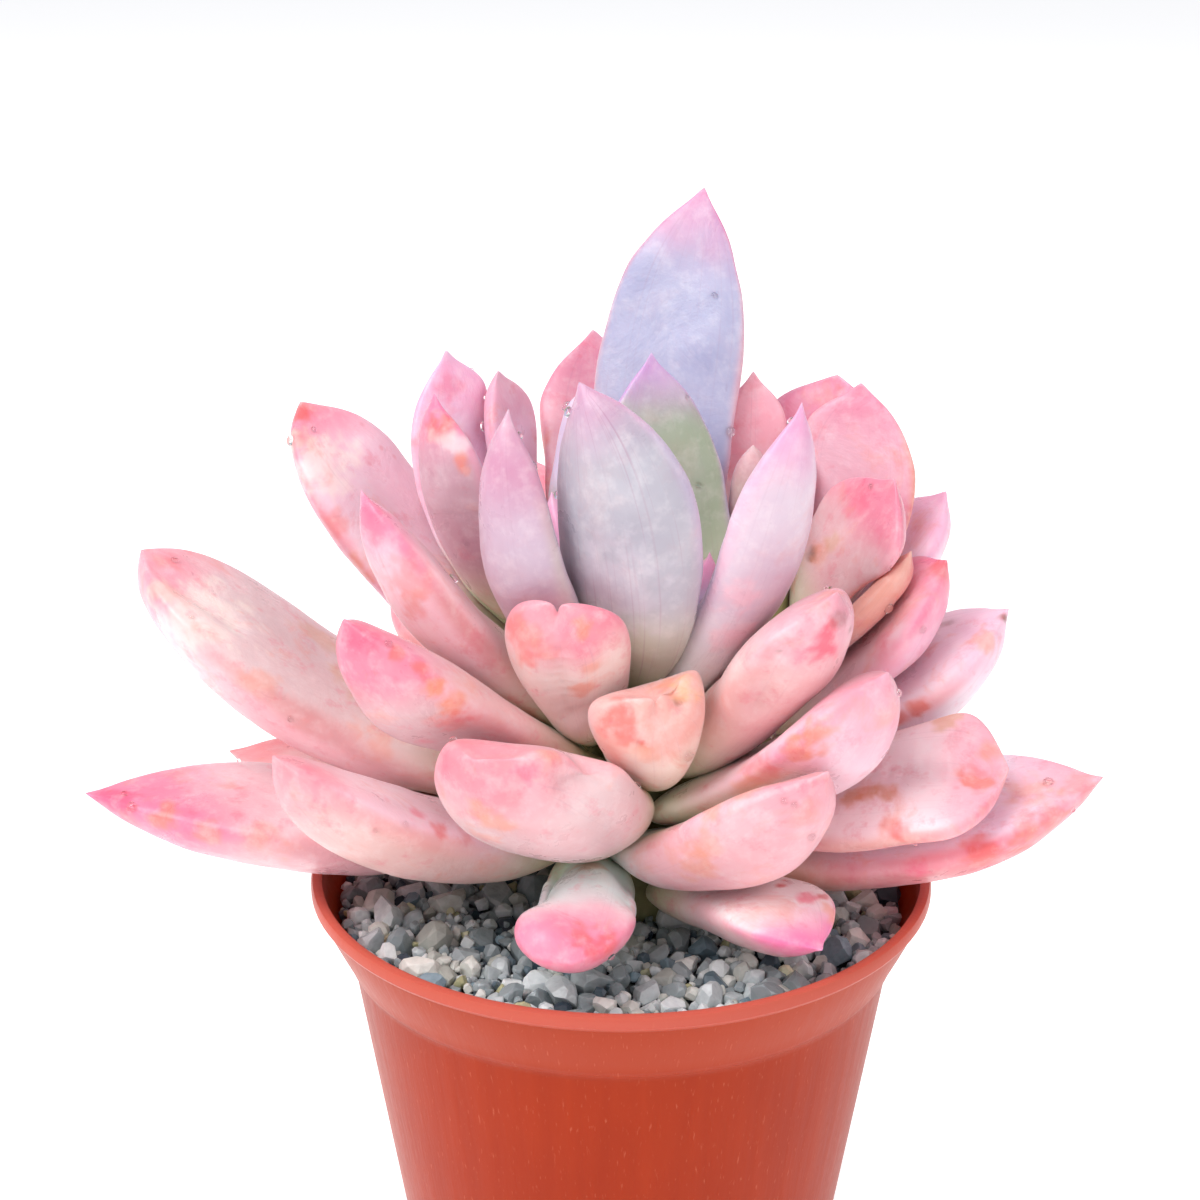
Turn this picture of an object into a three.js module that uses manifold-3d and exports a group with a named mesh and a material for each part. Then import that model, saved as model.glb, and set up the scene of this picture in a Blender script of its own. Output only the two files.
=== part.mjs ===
// A clump of a fleshy rosette succulent, with three heads on one short stem, growing in grit in a thin
// moulded nursery pot. Millimetres, +Z up. The origin is the centre of the pot's underside, and -Y is
// the side with the main head.
import * as THREE from "three";
import { mergeVertices } from "three/addons/utils/BufferGeometryUtils.js";
import Module from "manifold-3d";

const wasm = await Module();
wasm.setup();

// ---------------------------------------------------------------- driving dimensions
const GAP = 0.3; // left between pieces that touch

const pot = {
  height: 72,
  rimRadius: 40,
  lipThick: 1.5,
  lipHeight: 1.6,
  lipOverhang: 0.8, // how far the lip stands out past the collar
  lipFillet: 0.6,
  collarHeight: 10,
  collarTaper: 3.6, // how much narrower the collar's foot is than its top, in radius
  stepIn: 0.6, // from the collar's foot in to the body
  stepHeight: 0.7,
  footRadius: 24.8,
  chamferIn: 0.6, // of the edge that the pot stands on
  chamferUp: 1.2,
  wall: 1.0,
  floor: 1.3,
  holeRadius: 3,
  holeCircle: 14,
  holes: 6,
  sides: 60,
};
// The collar's curve passes through one point: this share of its height down, and of its taper in.
const collarCurve = { down: 0.68, inward: 0.45 };

const gritBelowRim = 4;
const gritDepth = 9;
const gritTop = pot.height - gritBelowRim;
const stemSides = 12;
const stemPoint = 1; // the height of the blunt cone at a growing tip

// Each head is the line that its leaves grow from: [x, y, height above the grit, radius] from its foot to
// its growing tip.
const heads = {
  main: [[2.5, 0, -20, 5], [2.5, 0, -2, 7], [2.5, 0, 10, 8], [2.5, 0, 24, 7], [2, 0, 36, 3]],
  left: [[1, 2, 10, 5], [-5, 9, 22, 5], [-9, 14, 36, 4.4], [-9.5, 14.5, 46, 2.4]],
  right: [[4, 2, 8, 5], [12, 9, 20, 5], [18, 13, 33, 4.4], [18.5, 13.5, 43, 2.4]],
};

// A leaf starts on its head at height `at` above the grit, and runs along the compass bearing `turn`
// (degrees from +X towards +Y) at `rise` above level. From end to end its line curves upwards by `bend`
// degrees and towards its anticlockwise edge by `sweep`. `roll` lifts that edge. `point` is 0 for a blunt
// end and 1 for a sharp one, `widest` is where it is broadest, as a share of its length, and `foot` how
// broad it starts. `cup` folds the sides up, `keel` raises a ridge under the tip, `drop` lowers the tip
// towards the underside, `mucro` is the length of its small spine, and `lobe` draws the two shoulders out
// past the midrib. `from` is the bearing of its foot on the head, where that isn't `turn`.
const plain = {
  width: 18, thick: 9, bend: 30, sweep: 0, roll: 0, point: 0.5, widest: 0.64, foot: 0.6,
  cup: 0.1, keel: 0.08, drop: 1.5, lobe: 0, mucro: 1.2,
};
const leaves = [
  // the skirt of old leaves, from the left round the front to the right
  {
    name: "leaf_outer_left_low", head: "main", at: 12, turn: 186, rise: 6.5, length: 61,
    width: 23, thick: 10.5, bend: 16, point: 0.65, widest: 0.55,
  },
  {
    name: "leaf_outer_left_under", head: "main", at: 12, turn: 164, rise: 3, length: 48,
    width: 18, thick: 8, bend: 12,
  },
  {
    name: "leaf_outer_left", head: "main", at: 17, turn: 176, rise: 30, length: 62,
    width: 25, thick: 12, bend: 50, point: 0, widest: 0.78, foot: 0.75, drop: 2.5,
  },
  {
    name: "leaf_front_left_low", head: "main", at: 12, turn: 208, rise: 24, length: 45,
    width: 17, thick: 10, bend: 48, point: 0.25, foot: 0.75, keel: 0.2, drop: 0.5,
  },
  {
    name: "leaf_front_left_upper", head: "main", at: 21, turn: 214, rise: 39, length: 42,
    width: 20, thick: 12, bend: 34, point: 0.2, widest: 0.66, foot: 0.8,
  },
  {
    name: "leaf_front_blunt", head: "main", at: 17, turn: 239, rise: 31, length: 34,
    width: 28, thick: 13.5, bend: 20, point: 0, widest: 0.6, foot: 0.5, keel: 0, lobe: 0.08,
  },
  {
    name: "leaf_front_drooping", head: "main", at: 7, from: 238, turn: 262, rise: 4, length: 30,
    width: 14, thick: 10, bend: -30, sweep: 10, point: 0, widest: 0.72, foot: 0.8, keel: 0,
    drop: 0, mucro: 0.3,
  },
  {
    name: "leaf_front_right", head: "main", at: 11, from: 266, turn: 314, rise: 35, length: 36,
    width: 19, thick: 11, bend: 40, point: 0.6, foot: 0.9,
  },
  {
    name: "leaf_front_right_low", head: "main", at: 6, from: 306, turn: 303, rise: 7, length: 29,
    width: 15, thick: 8, bend: -14, point: 0.65, widest: 0.74, foot: 0.8,
  },
  {
    name: "leaf_right_front", head: "main", at: 16, from: 305, turn: 327, rise: 42, length: 36,
    width: 20, thick: 12, bend: 36, point: 0.15, foot: 1,
  },
  {
    name: "leaf_outer_right", head: "main", at: 15, turn: 339, rise: 17, length: 39,
    width: 22, thick: 9.5, bend: 20, roll: 24, point: 0, widest: 0.84, foot: 0.8, drop: 2.5,
  },
  {
    name: "leaf_outer_right_low", head: "main", at: 11, turn: 348, rise: 14, length: 50,
    width: 23, thick: 10, bend: 34, roll: 8, point: 0.7, foot: 0.8,
  },
  // the upright leaves of the main head
  {
    name: "leaf_left_inner", head: "main", at: 24, turn: 197, rise: 53, length: 43,
    width: 16, thick: 8.5, bend: 30, point: 0.6, foot: 0.75,
  },
  {
    name: "leaf_heart", head: "main", at: 22, from: 212, turn: 256, rise: 60, length: 30,
    width: 16, thick: 10, bend: 10, point: 0, widest: 0.78, foot: 0.45, keel: 0.05, lobe: 0.22,
  },
  {
    name: "leaf_small_peach", head: "main", at: 23, turn: 272, rise: 44, length: 22,
    width: 16.5, thick: 12.5, bend: 15, roll: 16, point: 0, widest: 0.82, keel: 0, lobe: 0.26,
  },
  {
    name: "leaf_right_inner", head: "main", at: 22, turn: 315, rise: 55, length: 34,
    width: 17, thick: 11.5, bend: 30, roll: 12, point: 0, widest: 0.8, foot: 0.85, drop: 3.5,
  },
  {
    name: "leaf_right_upright", head: "main", at: 30, turn: 322, rise: 68, length: 43,
    width: 16, thick: 7.5, bend: 34, point: 0.8, widest: 0.58, foot: 0.8,
  },
  {
    name: "leaf_centre_left", head: "main", at: 30, turn: 217, rise: 72, length: 41,
    width: 13.5, thick: 7.5, bend: 56, point: 0.7, widest: 0.58, foot: 0.7,
  },
  {
    name: "leaf_centre_front", head: "main", at: 32, turn: 241, rise: 77, length: 42,
    width: 20, thick: 7, bend: 20, sweep: -50, point: 0.4, widest: 0.52, foot: 0.7,
  },
  {
    name: "leaf_centre_back", head: "main", at: 32, from: 45, turn: 105, rise: 82, length: 37,
    width: 19, thick: 6.5, bend: 15, point: 0.6, widest: 0.45, foot: 0.7,
  },
  {
    name: "leaf_tall_rear", head: "main", at: 29, turn: 74, rise: 67, length: 62,
    width: 19.5, thick: 7.5, bend: 16, sweep: -16, point: 0.6, widest: 0.66, foot: 0.55,
  },
  {
    name: "leaf_rear_left_red", head: "main", at: 27, turn: 99, rise: 52, length: 49,
    width: 21, thick: 8, bend: 20,
  },
  {
    name: "leaf_crown_left", head: "main", at: 34, turn: 165, rise: 74, length: 20,
    width: 9, thick: 5, bend: 24, foot: 0.8, mucro: 0.8,
  },
  {
    name: "leaf_crown_right", head: "main", at: 33, turn: 350, rise: 78, length: 14,
    width: 8, thick: 4.5, bend: 24, foot: 0.8, mucro: 0.8,
  },
  {
    name: "leaf_crown_heart", head: "main", at: 35, turn: 290, rise: 84, length: 14,
    width: 6, thick: 4, bend: 10, foot: 0.8, mucro: 0.6,
  },
  // the left head
  {
    name: "leaf_left_upper", head: "left", at: 29, turn: 172, rise: 51, length: 42.5,
    width: 18, thick: 9, bend: 40, roll: -22, point: 0.05, widest: 0.76, foot: 0.8, drop: 3,
  },
  {
    name: "leaf_left_head_outer", head: "left", at: 32, from: 165, turn: 147, rise: 73, length: 36,
    width: 18, thick: 6.5, bend: 24, roll: -20, point: 0.6, foot: 0.8,
  },
  {
    name: "leaf_left_head_front", head: "left", at: 35, turn: 212, rise: 71, length: 32,
    width: 13.5, thick: 6.5, bend: 34, point: 0.5, widest: 0.7, foot: 0.7,
  },
  {
    name: "leaf_left_head_back", head: "left", at: 36, from: 88, turn: 160, rise: 78, length: 28,
    width: 16, thick: 6, bend: 24, point: 0.1, foot: 0.8,
  },
  {
    name: "leaf_left_head_bud", head: "left", at: 44, from: 60, turn: 30, rise: 80, length: 18,
    width: 6, thick: 5, bend: 0, point: 0.1, drop: 0, mucro: 0.5,
  },
  // the right head
  {
    name: "leaf_right_side", head: "right", at: 18, turn: 354, rise: 31, length: 38,
    width: 21, thick: 11, bend: 26, roll: 8, foot: 0.8, drop: 0,
  },
  {
    name: "leaf_right_side_upper", head: "right", at: 22, turn: 342, rise: 47, length: 32,
    width: 20, thick: 9, bend: 26, roll: 20, point: 0.3, widest: 0.7, foot: 0.8,
  },
  {
    name: "leaf_right_side_inner", head: "right", at: 27, turn: 330, rise: 50, length: 26,
    width: 16, thick: 7, bend: 24, roll: 20, point: 0.3, foot: 0.8,
  },
  {
    name: "leaf_right_back", head: "right", at: 26, turn: 20, rise: 44, length: 32,
    width: 17, thick: 8, bend: 30, point: 0.3, widest: 0.72,
  },
  {
    name: "leaf_right_head_broad", head: "right", at: 30, turn: 24, rise: 73, length: 34,
    width: 20, thick: 7, bend: 34, roll: 42, point: 0.3, widest: 0.62, foot: 0.7,
  },
  {
    name: "leaf_right_head_front", head: "right", at: 31, turn: 334, rise: 62, length: 26,
    width: 19, thick: 6.5, bend: 20, roll: 50, point: 0.3, widest: 0.72, foot: 0.8,
  },
  {
    name: "leaf_right_head_back", head: "right", at: 32, turn: 55, rise: 66, length: 32,
    width: 20, thick: 7, bend: 30, point: 0, widest: 0.8,
  },
  {
    name: "leaf_right_head_inner", head: "right", at: 32, turn: 92, rise: 84, length: 31,
    width: 14, thick: 6.5, bend: 20, foot: 0.7,
  },
  {
    name: "leaf_right_head_bud", head: "right", at: 41, from: 220, turn: 300, rise: 86, length: 16,
    width: 6, thick: 5, bend: 0, point: 0.1, drop: 0, mucro: 0.5,
  },
  {
    name: "leaf_right_head_core", head: "right", at: 40, turn: 50, rise: 78, length: 15,
    width: 8, thick: 4.5, bend: 16, foot: 0.8, mucro: 0.6,
  },
  // the far side
  {
    name: "leaf_back_low_left", head: "main", at: 10, turn: 143, rise: 10, length: 48,
    width: 21, thick: 9, bend: 16,
  },
  {
    name: "leaf_back_left", head: "left", at: 22, turn: 135, rise: 24, length: 31,
    width: 20, thick: 9.5, bend: 30,
  },
  {
    name: "leaf_back_low", head: "main", at: 9, turn: 108, rise: 11, length: 48,
    width: 22, thick: 10, bend: 24,
  },
  {
    name: "leaf_back_middle", head: "left", at: 24, turn: 104, rise: 40, length: 36,
    width: 19, thick: 9, bend: 26,
  },
  {
    name: "leaf_back_low_right", head: "main", at: 7, turn: 72, rise: 10, length: 46,
    width: 21, thick: 9.5, bend: 24,
  },
  {
    name: "leaf_back_right", head: "main", at: 20, turn: 82, rise: 34, length: 44,
    width: 19, thick: 9, bend: 28,
  },
  {
    name: "leaf_right_low_rear", head: "right", at: 12, turn: 41, rise: 9, length: 41,
    width: 21, thick: 9, bend: 18,
  },
  {
    name: "leaf_right_rear", head: "right", at: 20, turn: 56, rise: 30, length: 34,
    width: 18, thick: 9, bend: 30,
  },
  {
    name: "leaf_right_low_side", head: "right", at: 15, turn: 12, rise: 10, length: 31,
    width: 19, thick: 9, bend: 24,
  },
];

// ---------------------------------------------------------------- shared geometry
const radians = (degrees) => (degrees * Math.PI) / 180;
const mix = (a, b, share) => a + (b - a) * share;

const bearing = (turn) => new THREE.Vector3(Math.cos(radians(turn)), Math.sin(radians(turn)), 0);

// One direction turned by an angle in degrees towards another that is square to it.
function turned(direction, towards, degrees) {
  const angle = radians(degrees);
  return direction.clone().multiplyScalar(Math.cos(angle)).addScaledVector(towards, Math.sin(angle));
}

// A closed mesh from rings of equal length, each end closed by a fan to its own middle point.
function skin(rings, start, end) {
  const sides = rings[0].length;
  const points = [start, ...rings.flat(), end];
  const at = (ring, side) => 1 + ring * sides + (side % sides);
  const faces = [];
  for (let s = 0; s < sides; s++) {
    faces.push(0, at(0, s + 1), at(0, s));
    for (let r = 0; r + 1 < rings.length; r++) {
      faces.push(at(r, s), at(r, s + 1), at(r + 1, s + 1));
      faces.push(at(r, s), at(r + 1, s + 1), at(r + 1, s));
    }
    faces.push(points.length - 1, at(rings.length - 1, s), at(rings.length - 1, s + 1));
  }
  const geometry = new THREE.BufferGeometry().setFromPoints(points);
  geometry.setIndex(faces);
  return geometry;
}

function solidOf(geometry) {
  const bare = geometry.clone();
  bare.deleteAttribute("normal");
  bare.deleteAttribute("uv");
  const merged = mergeVertices(bare, 1e-4);
  return new wasm.Manifold(
    new wasm.Mesh({
      numProp: 3,
      vertProperties: merged.attributes.position.array,
      triVerts: new Uint32Array(merged.index.array),
    }),
  );
}

function geometryOf(solid) {
  const mesh = solid.getMesh();
  return new THREE.BufferGeometry()
    .setAttribute("position", new THREE.BufferAttribute(mesh.vertProperties, 3))
    .setIndex(new THREE.BufferAttribute(mesh.triVerts, 1));
}

// ---------------------------------------------------------------- stem
// The point and radius on a head's line at a height above the grit.
function onHead(head, height) {
  const line = heads[head];
  const i = Math.min(Math.max(line.findIndex((p) => p[2] > height), 1), line.length - 1);
  const share = Math.min(Math.max((height - line[i - 1][2]) / (line[i][2] - line[i - 1][2]), 0), 1);
  const [x, y, , radius] = line[i].map((value, k) => mix(line[i - 1][k], value, share));
  return { x, y, radius };
}

function stemTube(line) {
  const rings = line.map(([x, y, height, radius]) =>
    Array.from({ length: stemSides }, (_, s) => {
      const angle = (2 * Math.PI * s) / stemSides;
      const out = [radius * Math.cos(angle), radius * Math.sin(angle)];
      return new THREE.Vector3(x + out[0], y + out[1], gritTop + height);
    }),
  );
  const middle = ([x, y, height], past) => new THREE.Vector3(x, y, gritTop + height + past);
  return skin(rings, middle(line[0], 0), middle(line[line.length - 1], stemPoint));
}

// Distance from a point to the nearest head's surface, negative inside it.
function stemDistance(p) {
  let least = Infinity;
  for (const line of Object.values(heads))
    for (let i = 1; i < line.length; i++) {
      const [a, b] = [line[i - 1], line[i]];
      const run = [b[0] - a[0], b[1] - a[1], b[2] - a[2]];
      const length2 = run[0] ** 2 + run[1] ** 2 + run[2] ** 2;
      const off = [p.x - a[0], p.y - a[1], p.z - gritTop - a[2]];
      const along = (off[0] * run[0] + off[1] * run[1] + off[2] * run[2]) / length2;
      const share = Math.min(Math.max(along, 0), 1);
      const away = Math.hypot(off[0] - run[0] * share, off[1] - run[1] * share, off[2] - run[2] * share);
      least = Math.min(least, away - mix(a[3], b[3], share));
    }
  return least;
}

// ---------------------------------------------------------------- leaves
const LEAF_STATIONS = [0, 0.08, 0.18, 0.29, 0.4, 0.51, 0.62, 0.72, 0.81, 0.89, 0.95, 0.985];
const LEAF_SIDES = 12;
const SPINE_STEPS = 24;
const UPPER_SHARE = 0.4; // of a leaf's thickness lies above its line, and the rest below
const DEEPEST = 0.45; // where a leaf is thickest, as a share of its length
const FOOT_DEPTH = 0.7; // how thick its foot is, as a share of that
const LEAST_HALF = 0.02; // so that no ring closes to a point
const DROP_FROM = 0.7; // where its tip starts to lower
const REACH_SPARE = 3; // how far past its own length and width a leaf may reach
const LEAST_ROOM = 0.03; // the least share of its own section that a pressed leaf keeps
const ROOM_HALVINGS = 9;
const RIM_CLEARANCE = 3 * GAP; // between a leaf's underside and the pot's rim
const RIM_APPROACH = 5; // how far inside the pot's wall a leaf is already up at that height
const DEPTH_SCALE = 4; // how deep the middle of any leaf counts as lying, so that a thin leaf holds its own
const EASING_PASSES = 3; // how softly the edge of a pressed flat runs out into the round of the leaf
const EASING_STEP = 0.05;

// The half width and the upper and lower half thickness of a leaf at a share t of its length.
function leafSection(leaf, t) {
  const rise = (peak, foot) => foot + (1 - foot) * Math.sin((Math.PI / 2) * Math.min(t / peak, 1)) ** 1.2;
  const past = (peak) => Math.max(0, (t - peak) / (1 - peak));
  const taper = mix(0.5, 0.95, leaf.point);
  const wide = rise(leaf.widest, leaf.foot) * (1 - past(leaf.widest) ** 2) ** taper;
  const deep = rise(DEEPEST, FOOT_DEPTH) * (1 - past(DEEPEST) ** 2.4) ** mix(0.5, 0.8, leaf.point);
  return {
    half: Math.max((leaf.width / 2) * wide, LEAST_HALF),
    up: Math.max(leaf.thick * UPPER_SHARE * deep, LEAST_HALF),
    down: Math.max(leaf.thick * (1 - UPPER_SHARE) * deep, LEAST_HALF),
  };
}

// The leaf's own line, as points with the direction it runs in, its side and its upper face.
function leafSpine(leaf) {
  const start = onHead(leaf.head, leaf.at);
  const point = new THREE.Vector3(start.x, start.y, gritTop + leaf.at);
  point.addScaledVector(bearing(leaf.from ?? leaf.turn), start.radius + GAP);
  const outward = bearing(leaf.turn);
  const level = bearing(leaf.turn + 90);
  const up = new THREE.Vector3(0, 0, 1);
  const spine = [];
  for (let i = 0; i <= SPINE_STEPS; i++) {
    const t = i / SPINE_STEPS;
    const rise = leaf.rise + leaf.bend * (t - 0.5);
    const ahead = turned(outward, up, rise);
    const above = turned(up, outward, -rise);
    const edge = turned(level, above, leaf.roll);
    const yaw = leaf.sweep * (t - 0.5);
    const along = turned(ahead, edge, yaw);
    const side = turned(edge, ahead, -yaw);
    const upper = turned(above, level, -leaf.roll);
    spine.push({ point: point.clone(), along, side, upper });
    point.addScaledVector(along, leaf.length / SPINE_STEPS);
  }
  return spine;
}

function spineAt(spine, t) {
  const place = Math.min(Math.max(t, 0), 1) * SPINE_STEPS;
  const i = Math.min(Math.floor(place), SPINE_STEPS - 1);
  const blend = (key) => spine[i][key].clone().lerp(spine[i + 1][key], place - i);
  return {
    point: blend("point"),
    along: blend("along").normalize(),
    side: blend("side").normalize(),
    upper: blend("upper").normalize(),
  };
}

// How far a point of the leaf's skin lies from the leaf's line at share t, going round by angle.
function leafOffset(leaf, t, angle) {
  const { half, up, down } = leafSection(leaf, t);
  const [c, s] = [Math.cos(angle), Math.sin(angle)];
  const ridge = leaf.keel * half * Math.max(-s, 0) ** 6 * Math.min(1, t * 1.6);
  return {
    x: half * c,
    y: (s > 0 ? up : down) * s + leafBow(leaf, t, half, c * c) - ridge,
    ahead: leaf.lobe * leaf.length * t ** 4 * (c * c - 0.4),
  };
}

// How far the leaf's section is lifted off its line, at a share `out` (squared) of its half width.
function leafBow(leaf, t, half, out) {
  const fold = leaf.cup * half * (2 * out - 1) * Math.min(1, t * 2);
  return fold - leaf.drop * Math.max(0, (t - DROP_FROM) / (1 - DROP_FROM)) ** 2;
}

// A rough distance from a leaf's skin, negative inside it, for telling which of two leaves a point is
// deeper in.
function leafDistance(leaf, p) {
  const toMiddle = leaf.middle.distanceTo(p);
  if (toMiddle > leaf.reach) return toMiddle - leaf.reach + REACH_SPARE;
  let best = Infinity;
  let t = 0;
  for (let i = 0; i < SPINE_STEPS; i++) {
    const a = leaf.spine[i].point;
    const run = leaf.spine[i + 1].point.clone().sub(a);
    const along = p.clone().sub(a).dot(run) / run.lengthSq();
    const share = Math.min(Math.max(along, 0), 1);
    const away = a.clone().addScaledVector(run, share).distanceTo(p);
    if (away < best) [best, t] = [away, (i + share) / SPINE_STEPS];
  }
  const frame = spineAt(leaf.spine, t);
  const off = p.clone().sub(frame.point);
  const { half, up, down } = leafSection(leaf, t);
  const x = off.dot(frame.side) / half;
  const y = off.dot(frame.upper) - leafBow(leaf, t, half, Math.min(x * x, 1));
  const inside = (Math.hypot(x, y / (y > 0 ? up : down)) - 1) * DEPTH_SCALE;
  if (t > 0 && t < 1) return inside;
  return inside + Math.abs(off.dot(frame.along));
}

// Where leaves crowd each other they press flat. This is the share of the way out from a leaf's line that a
// point of its skin may keep: it must lie deeper in its own leaf than in any neighbour, and clear of the
// stem, the grit and the pot.
function roomFor(leaf, centre, point, neighbours) {
  const clear = (p) =>
    stemDistance(p) > 1.5 * GAP &&
    p.z > gritTop + GAP &&
    (p.z > pot.height + RIM_CLEARANCE || Math.hypot(p.x, p.y) < innerRadius(p.z) - RIM_APPROACH) &&
    neighbours.every((other) => leafDistance(other, p) - leafDistance(leaf, p) > 3 * GAP);
  if (clear(point)) return 1;
  let [low, high] = [0, 1];
  for (let i = 0; i < ROOM_HALVINGS; i++) {
    const share = (low + high) / 2;
    if (clear(centre.clone().lerp(point, share))) low = share;
    else high = share;
  }
  return Math.max(low, LEAST_ROOM);
}

// The room of every point of a leaf's skin, lowered beside a pressed point so that its flat runs out softly
// into the round.
function eased(room) {
  const step = (ring, r) =>
    ring.map((share, s) => {
      const before = room[Math.max(r - 1, 0)][s];
      const after = room[Math.min(r + 1, room.length - 1)][s];
      const beside = ring[(s + 1) % LEAF_SIDES] + ring[(s + LEAF_SIDES - 1) % LEAF_SIDES];
      return Math.min(share, (before + after + beside) / 4 + EASING_STEP);
    });
  for (let pass = 0; pass < EASING_PASSES; pass++) room = room.map(step);
  return room;
}

function leafGeometry(leaf, all) {
  const neighbours = all.filter(
    (other) => other !== leaf && other.middle.distanceTo(leaf.middle) < other.reach + leaf.reach,
  );
  const centres = LEAF_STATIONS.map((t) => {
    const frame = spineAt(leaf.spine, t);
    return frame.point.addScaledVector(frame.upper, leafBow(leaf, t, 0, 0));
  });
  const skinPoints = LEAF_STATIONS.map((t) => {
    const frame = spineAt(leaf.spine, t);
    return Array.from({ length: LEAF_SIDES }, (_, s) => {
      const { x, y, ahead } = leafOffset(leaf, t, (2 * Math.PI * s) / LEAF_SIDES);
      return frame.point
        .clone()
        .addScaledVector(frame.side, x)
        .addScaledVector(frame.upper, y)
        .addScaledVector(frame.along, ahead);
    });
  });
  const free = skinPoints.map((ring, r) => ring.map((p) => roomFor(leaf, centres[r], p, neighbours)));
  const room = eased(free);
  const rings = skinPoints.map((ring, r) => ring.map((p, s) => centres[r].clone().lerp(p, room[r][s])));
  const end = spineAt(leaf.spine, 1);
  const past = leaf.mucro - leaf.lobe * leaf.length * 0.4;
  const tip = end.point.addScaledVector(end.along, past).addScaledVector(end.upper, -leaf.drop);
  return skin(rings, leaf.spine[0].point.clone(), tip);
}

function finished(row) {
  const leaf = { ...plain, ...row };
  leaf.spine = leafSpine(leaf);
  leaf.middle = leaf.spine[SPINE_STEPS / 2].point.clone();
  leaf.reach = Math.hypot(leaf.length / 2 + REACH_SPARE, leaf.width / 2);
  return leaf;
}

// ---------------------------------------------------------------- pot and filling
const collarTop = pot.rimRadius - pot.lipOverhang;
const collarFoot = collarTop - pot.collarTaper;
const potOuter = [
  [pot.rimRadius, pot.height],
  [pot.rimRadius, pot.height - pot.lipHeight],
  [collarTop, pot.height - pot.lipHeight - pot.lipFillet],
  [mix(collarTop, collarFoot, collarCurve.inward), pot.height - pot.collarHeight * collarCurve.down],
  [collarFoot, pot.height - pot.collarHeight],
  [collarFoot - pot.stepIn, pot.height - pot.collarHeight - pot.stepHeight],
  [pot.footRadius + pot.chamferIn, pot.chamferUp],
  [pot.footRadius, 0],
];

// The pot's inner radius at height z, one wall inside the outer outline.
function innerRadius(z) {
  const i = Math.max(1, potOuter.findIndex(([, height]) => height <= z));
  const [[r1, z1], [r0, z0]] = [potOuter[i - 1], potOuter[i]];
  return (z1 === z0 ? r0 : mix(r0, r1, (z - z0) / (z1 - z0))) - pot.wall;
}

function lathe(outline) {
  const points = outline.map(([r, z]) => new THREE.Vector2(r, z));
  return new THREE.LatheGeometry(points, pot.sides).rotateX(Math.PI / 2);
}

function potGeometry() {
  const inner = potOuter.slice(2, 7).map(([r, z]) => [r - pot.wall, z]);
  inner[inner.length - 1] = [innerRadius(pot.floor), pot.floor];
  const outline = [
    [0, 0], ...potOuter.toReversed(), [pot.rimRadius - pot.lipThick, pot.height], ...inner, [0, pot.floor],
  ];
  let solid = solidOf(lathe(outline));
  for (let i = 0; i < pot.holes; i++) {
    const angle = (2 * Math.PI * i) / pot.holes;
    const drill = new THREE.CylinderGeometry(pot.holeRadius, pot.holeRadius, pot.floor * 3, 16)
      .rotateX(Math.PI / 2)
      .translate(pot.holeCircle * Math.cos(angle), pot.holeCircle * Math.sin(angle), pot.floor / 2);
    solid = solid.subtract(solidOf(drill));
  }
  return geometryOf(solid);
}

// A filling that follows the inside of the pot from one height to another, with room for the stem.
function fillingGeometry(low, high, stemRoom) {
  const corners = potOuter.map(([, z]) => z).filter((z) => z > low && z < high);
  const heights = [low, ...corners.toReversed(), high];
  const side = heights.map((z) => [innerRadius(z) - GAP, z]);
  return geometryOf(solidOf(lathe([[0, low], ...side, [0, high]])).subtract(stemRoom));
}

// ---------------------------------------------------------------- assembly
const material = (color, roughness) => new THREE.MeshStandardMaterial({ color, roughness, metalness: 0 });
const potPlastic = material("#c9503a", 0.42);
const grit = material("#8f9191", 0.85);
const soil = material("#4a4038", 0.95);
const bark = material("#8a8360", 0.8);
const leafFlesh = material("#f0b6bb", 0.5);

const plant = new THREE.Group();
function add(name, geometry, finish) {
  const mesh = new THREE.Mesh(geometry, finish);
  mesh.name = name;
  plant.add(mesh);
}

const stemSolid = Object.values(heads).map((line) => solidOf(stemTube(line))).reduce((a, b) => a.add(b));
const roomy = heads.main.map(([x, y, height, radius], i) => [x, y, height - (i ? 0 : GAP), radius + GAP]);
const stemRoom = solidOf(stemTube(roomy));
const allLeaves = leaves.map(finished);

add("nursery_pot", potGeometry(), potPlastic);
add("potting_mix", fillingGeometry(pot.floor + GAP, gritTop - gritDepth, stemRoom), soil);
add("grit_layer", fillingGeometry(gritTop - gritDepth + GAP, gritTop, stemRoom), grit);
add("stem", geometryOf(stemSolid), bark);
for (const leaf of allLeaves) add(leaf.name, leafGeometry(leaf, allLeaves), leafFlesh);

export default plant;
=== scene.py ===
import math
import random

import bmesh
import bpy
import numpy as np
from mathutils import Euler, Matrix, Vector, noise


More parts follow.
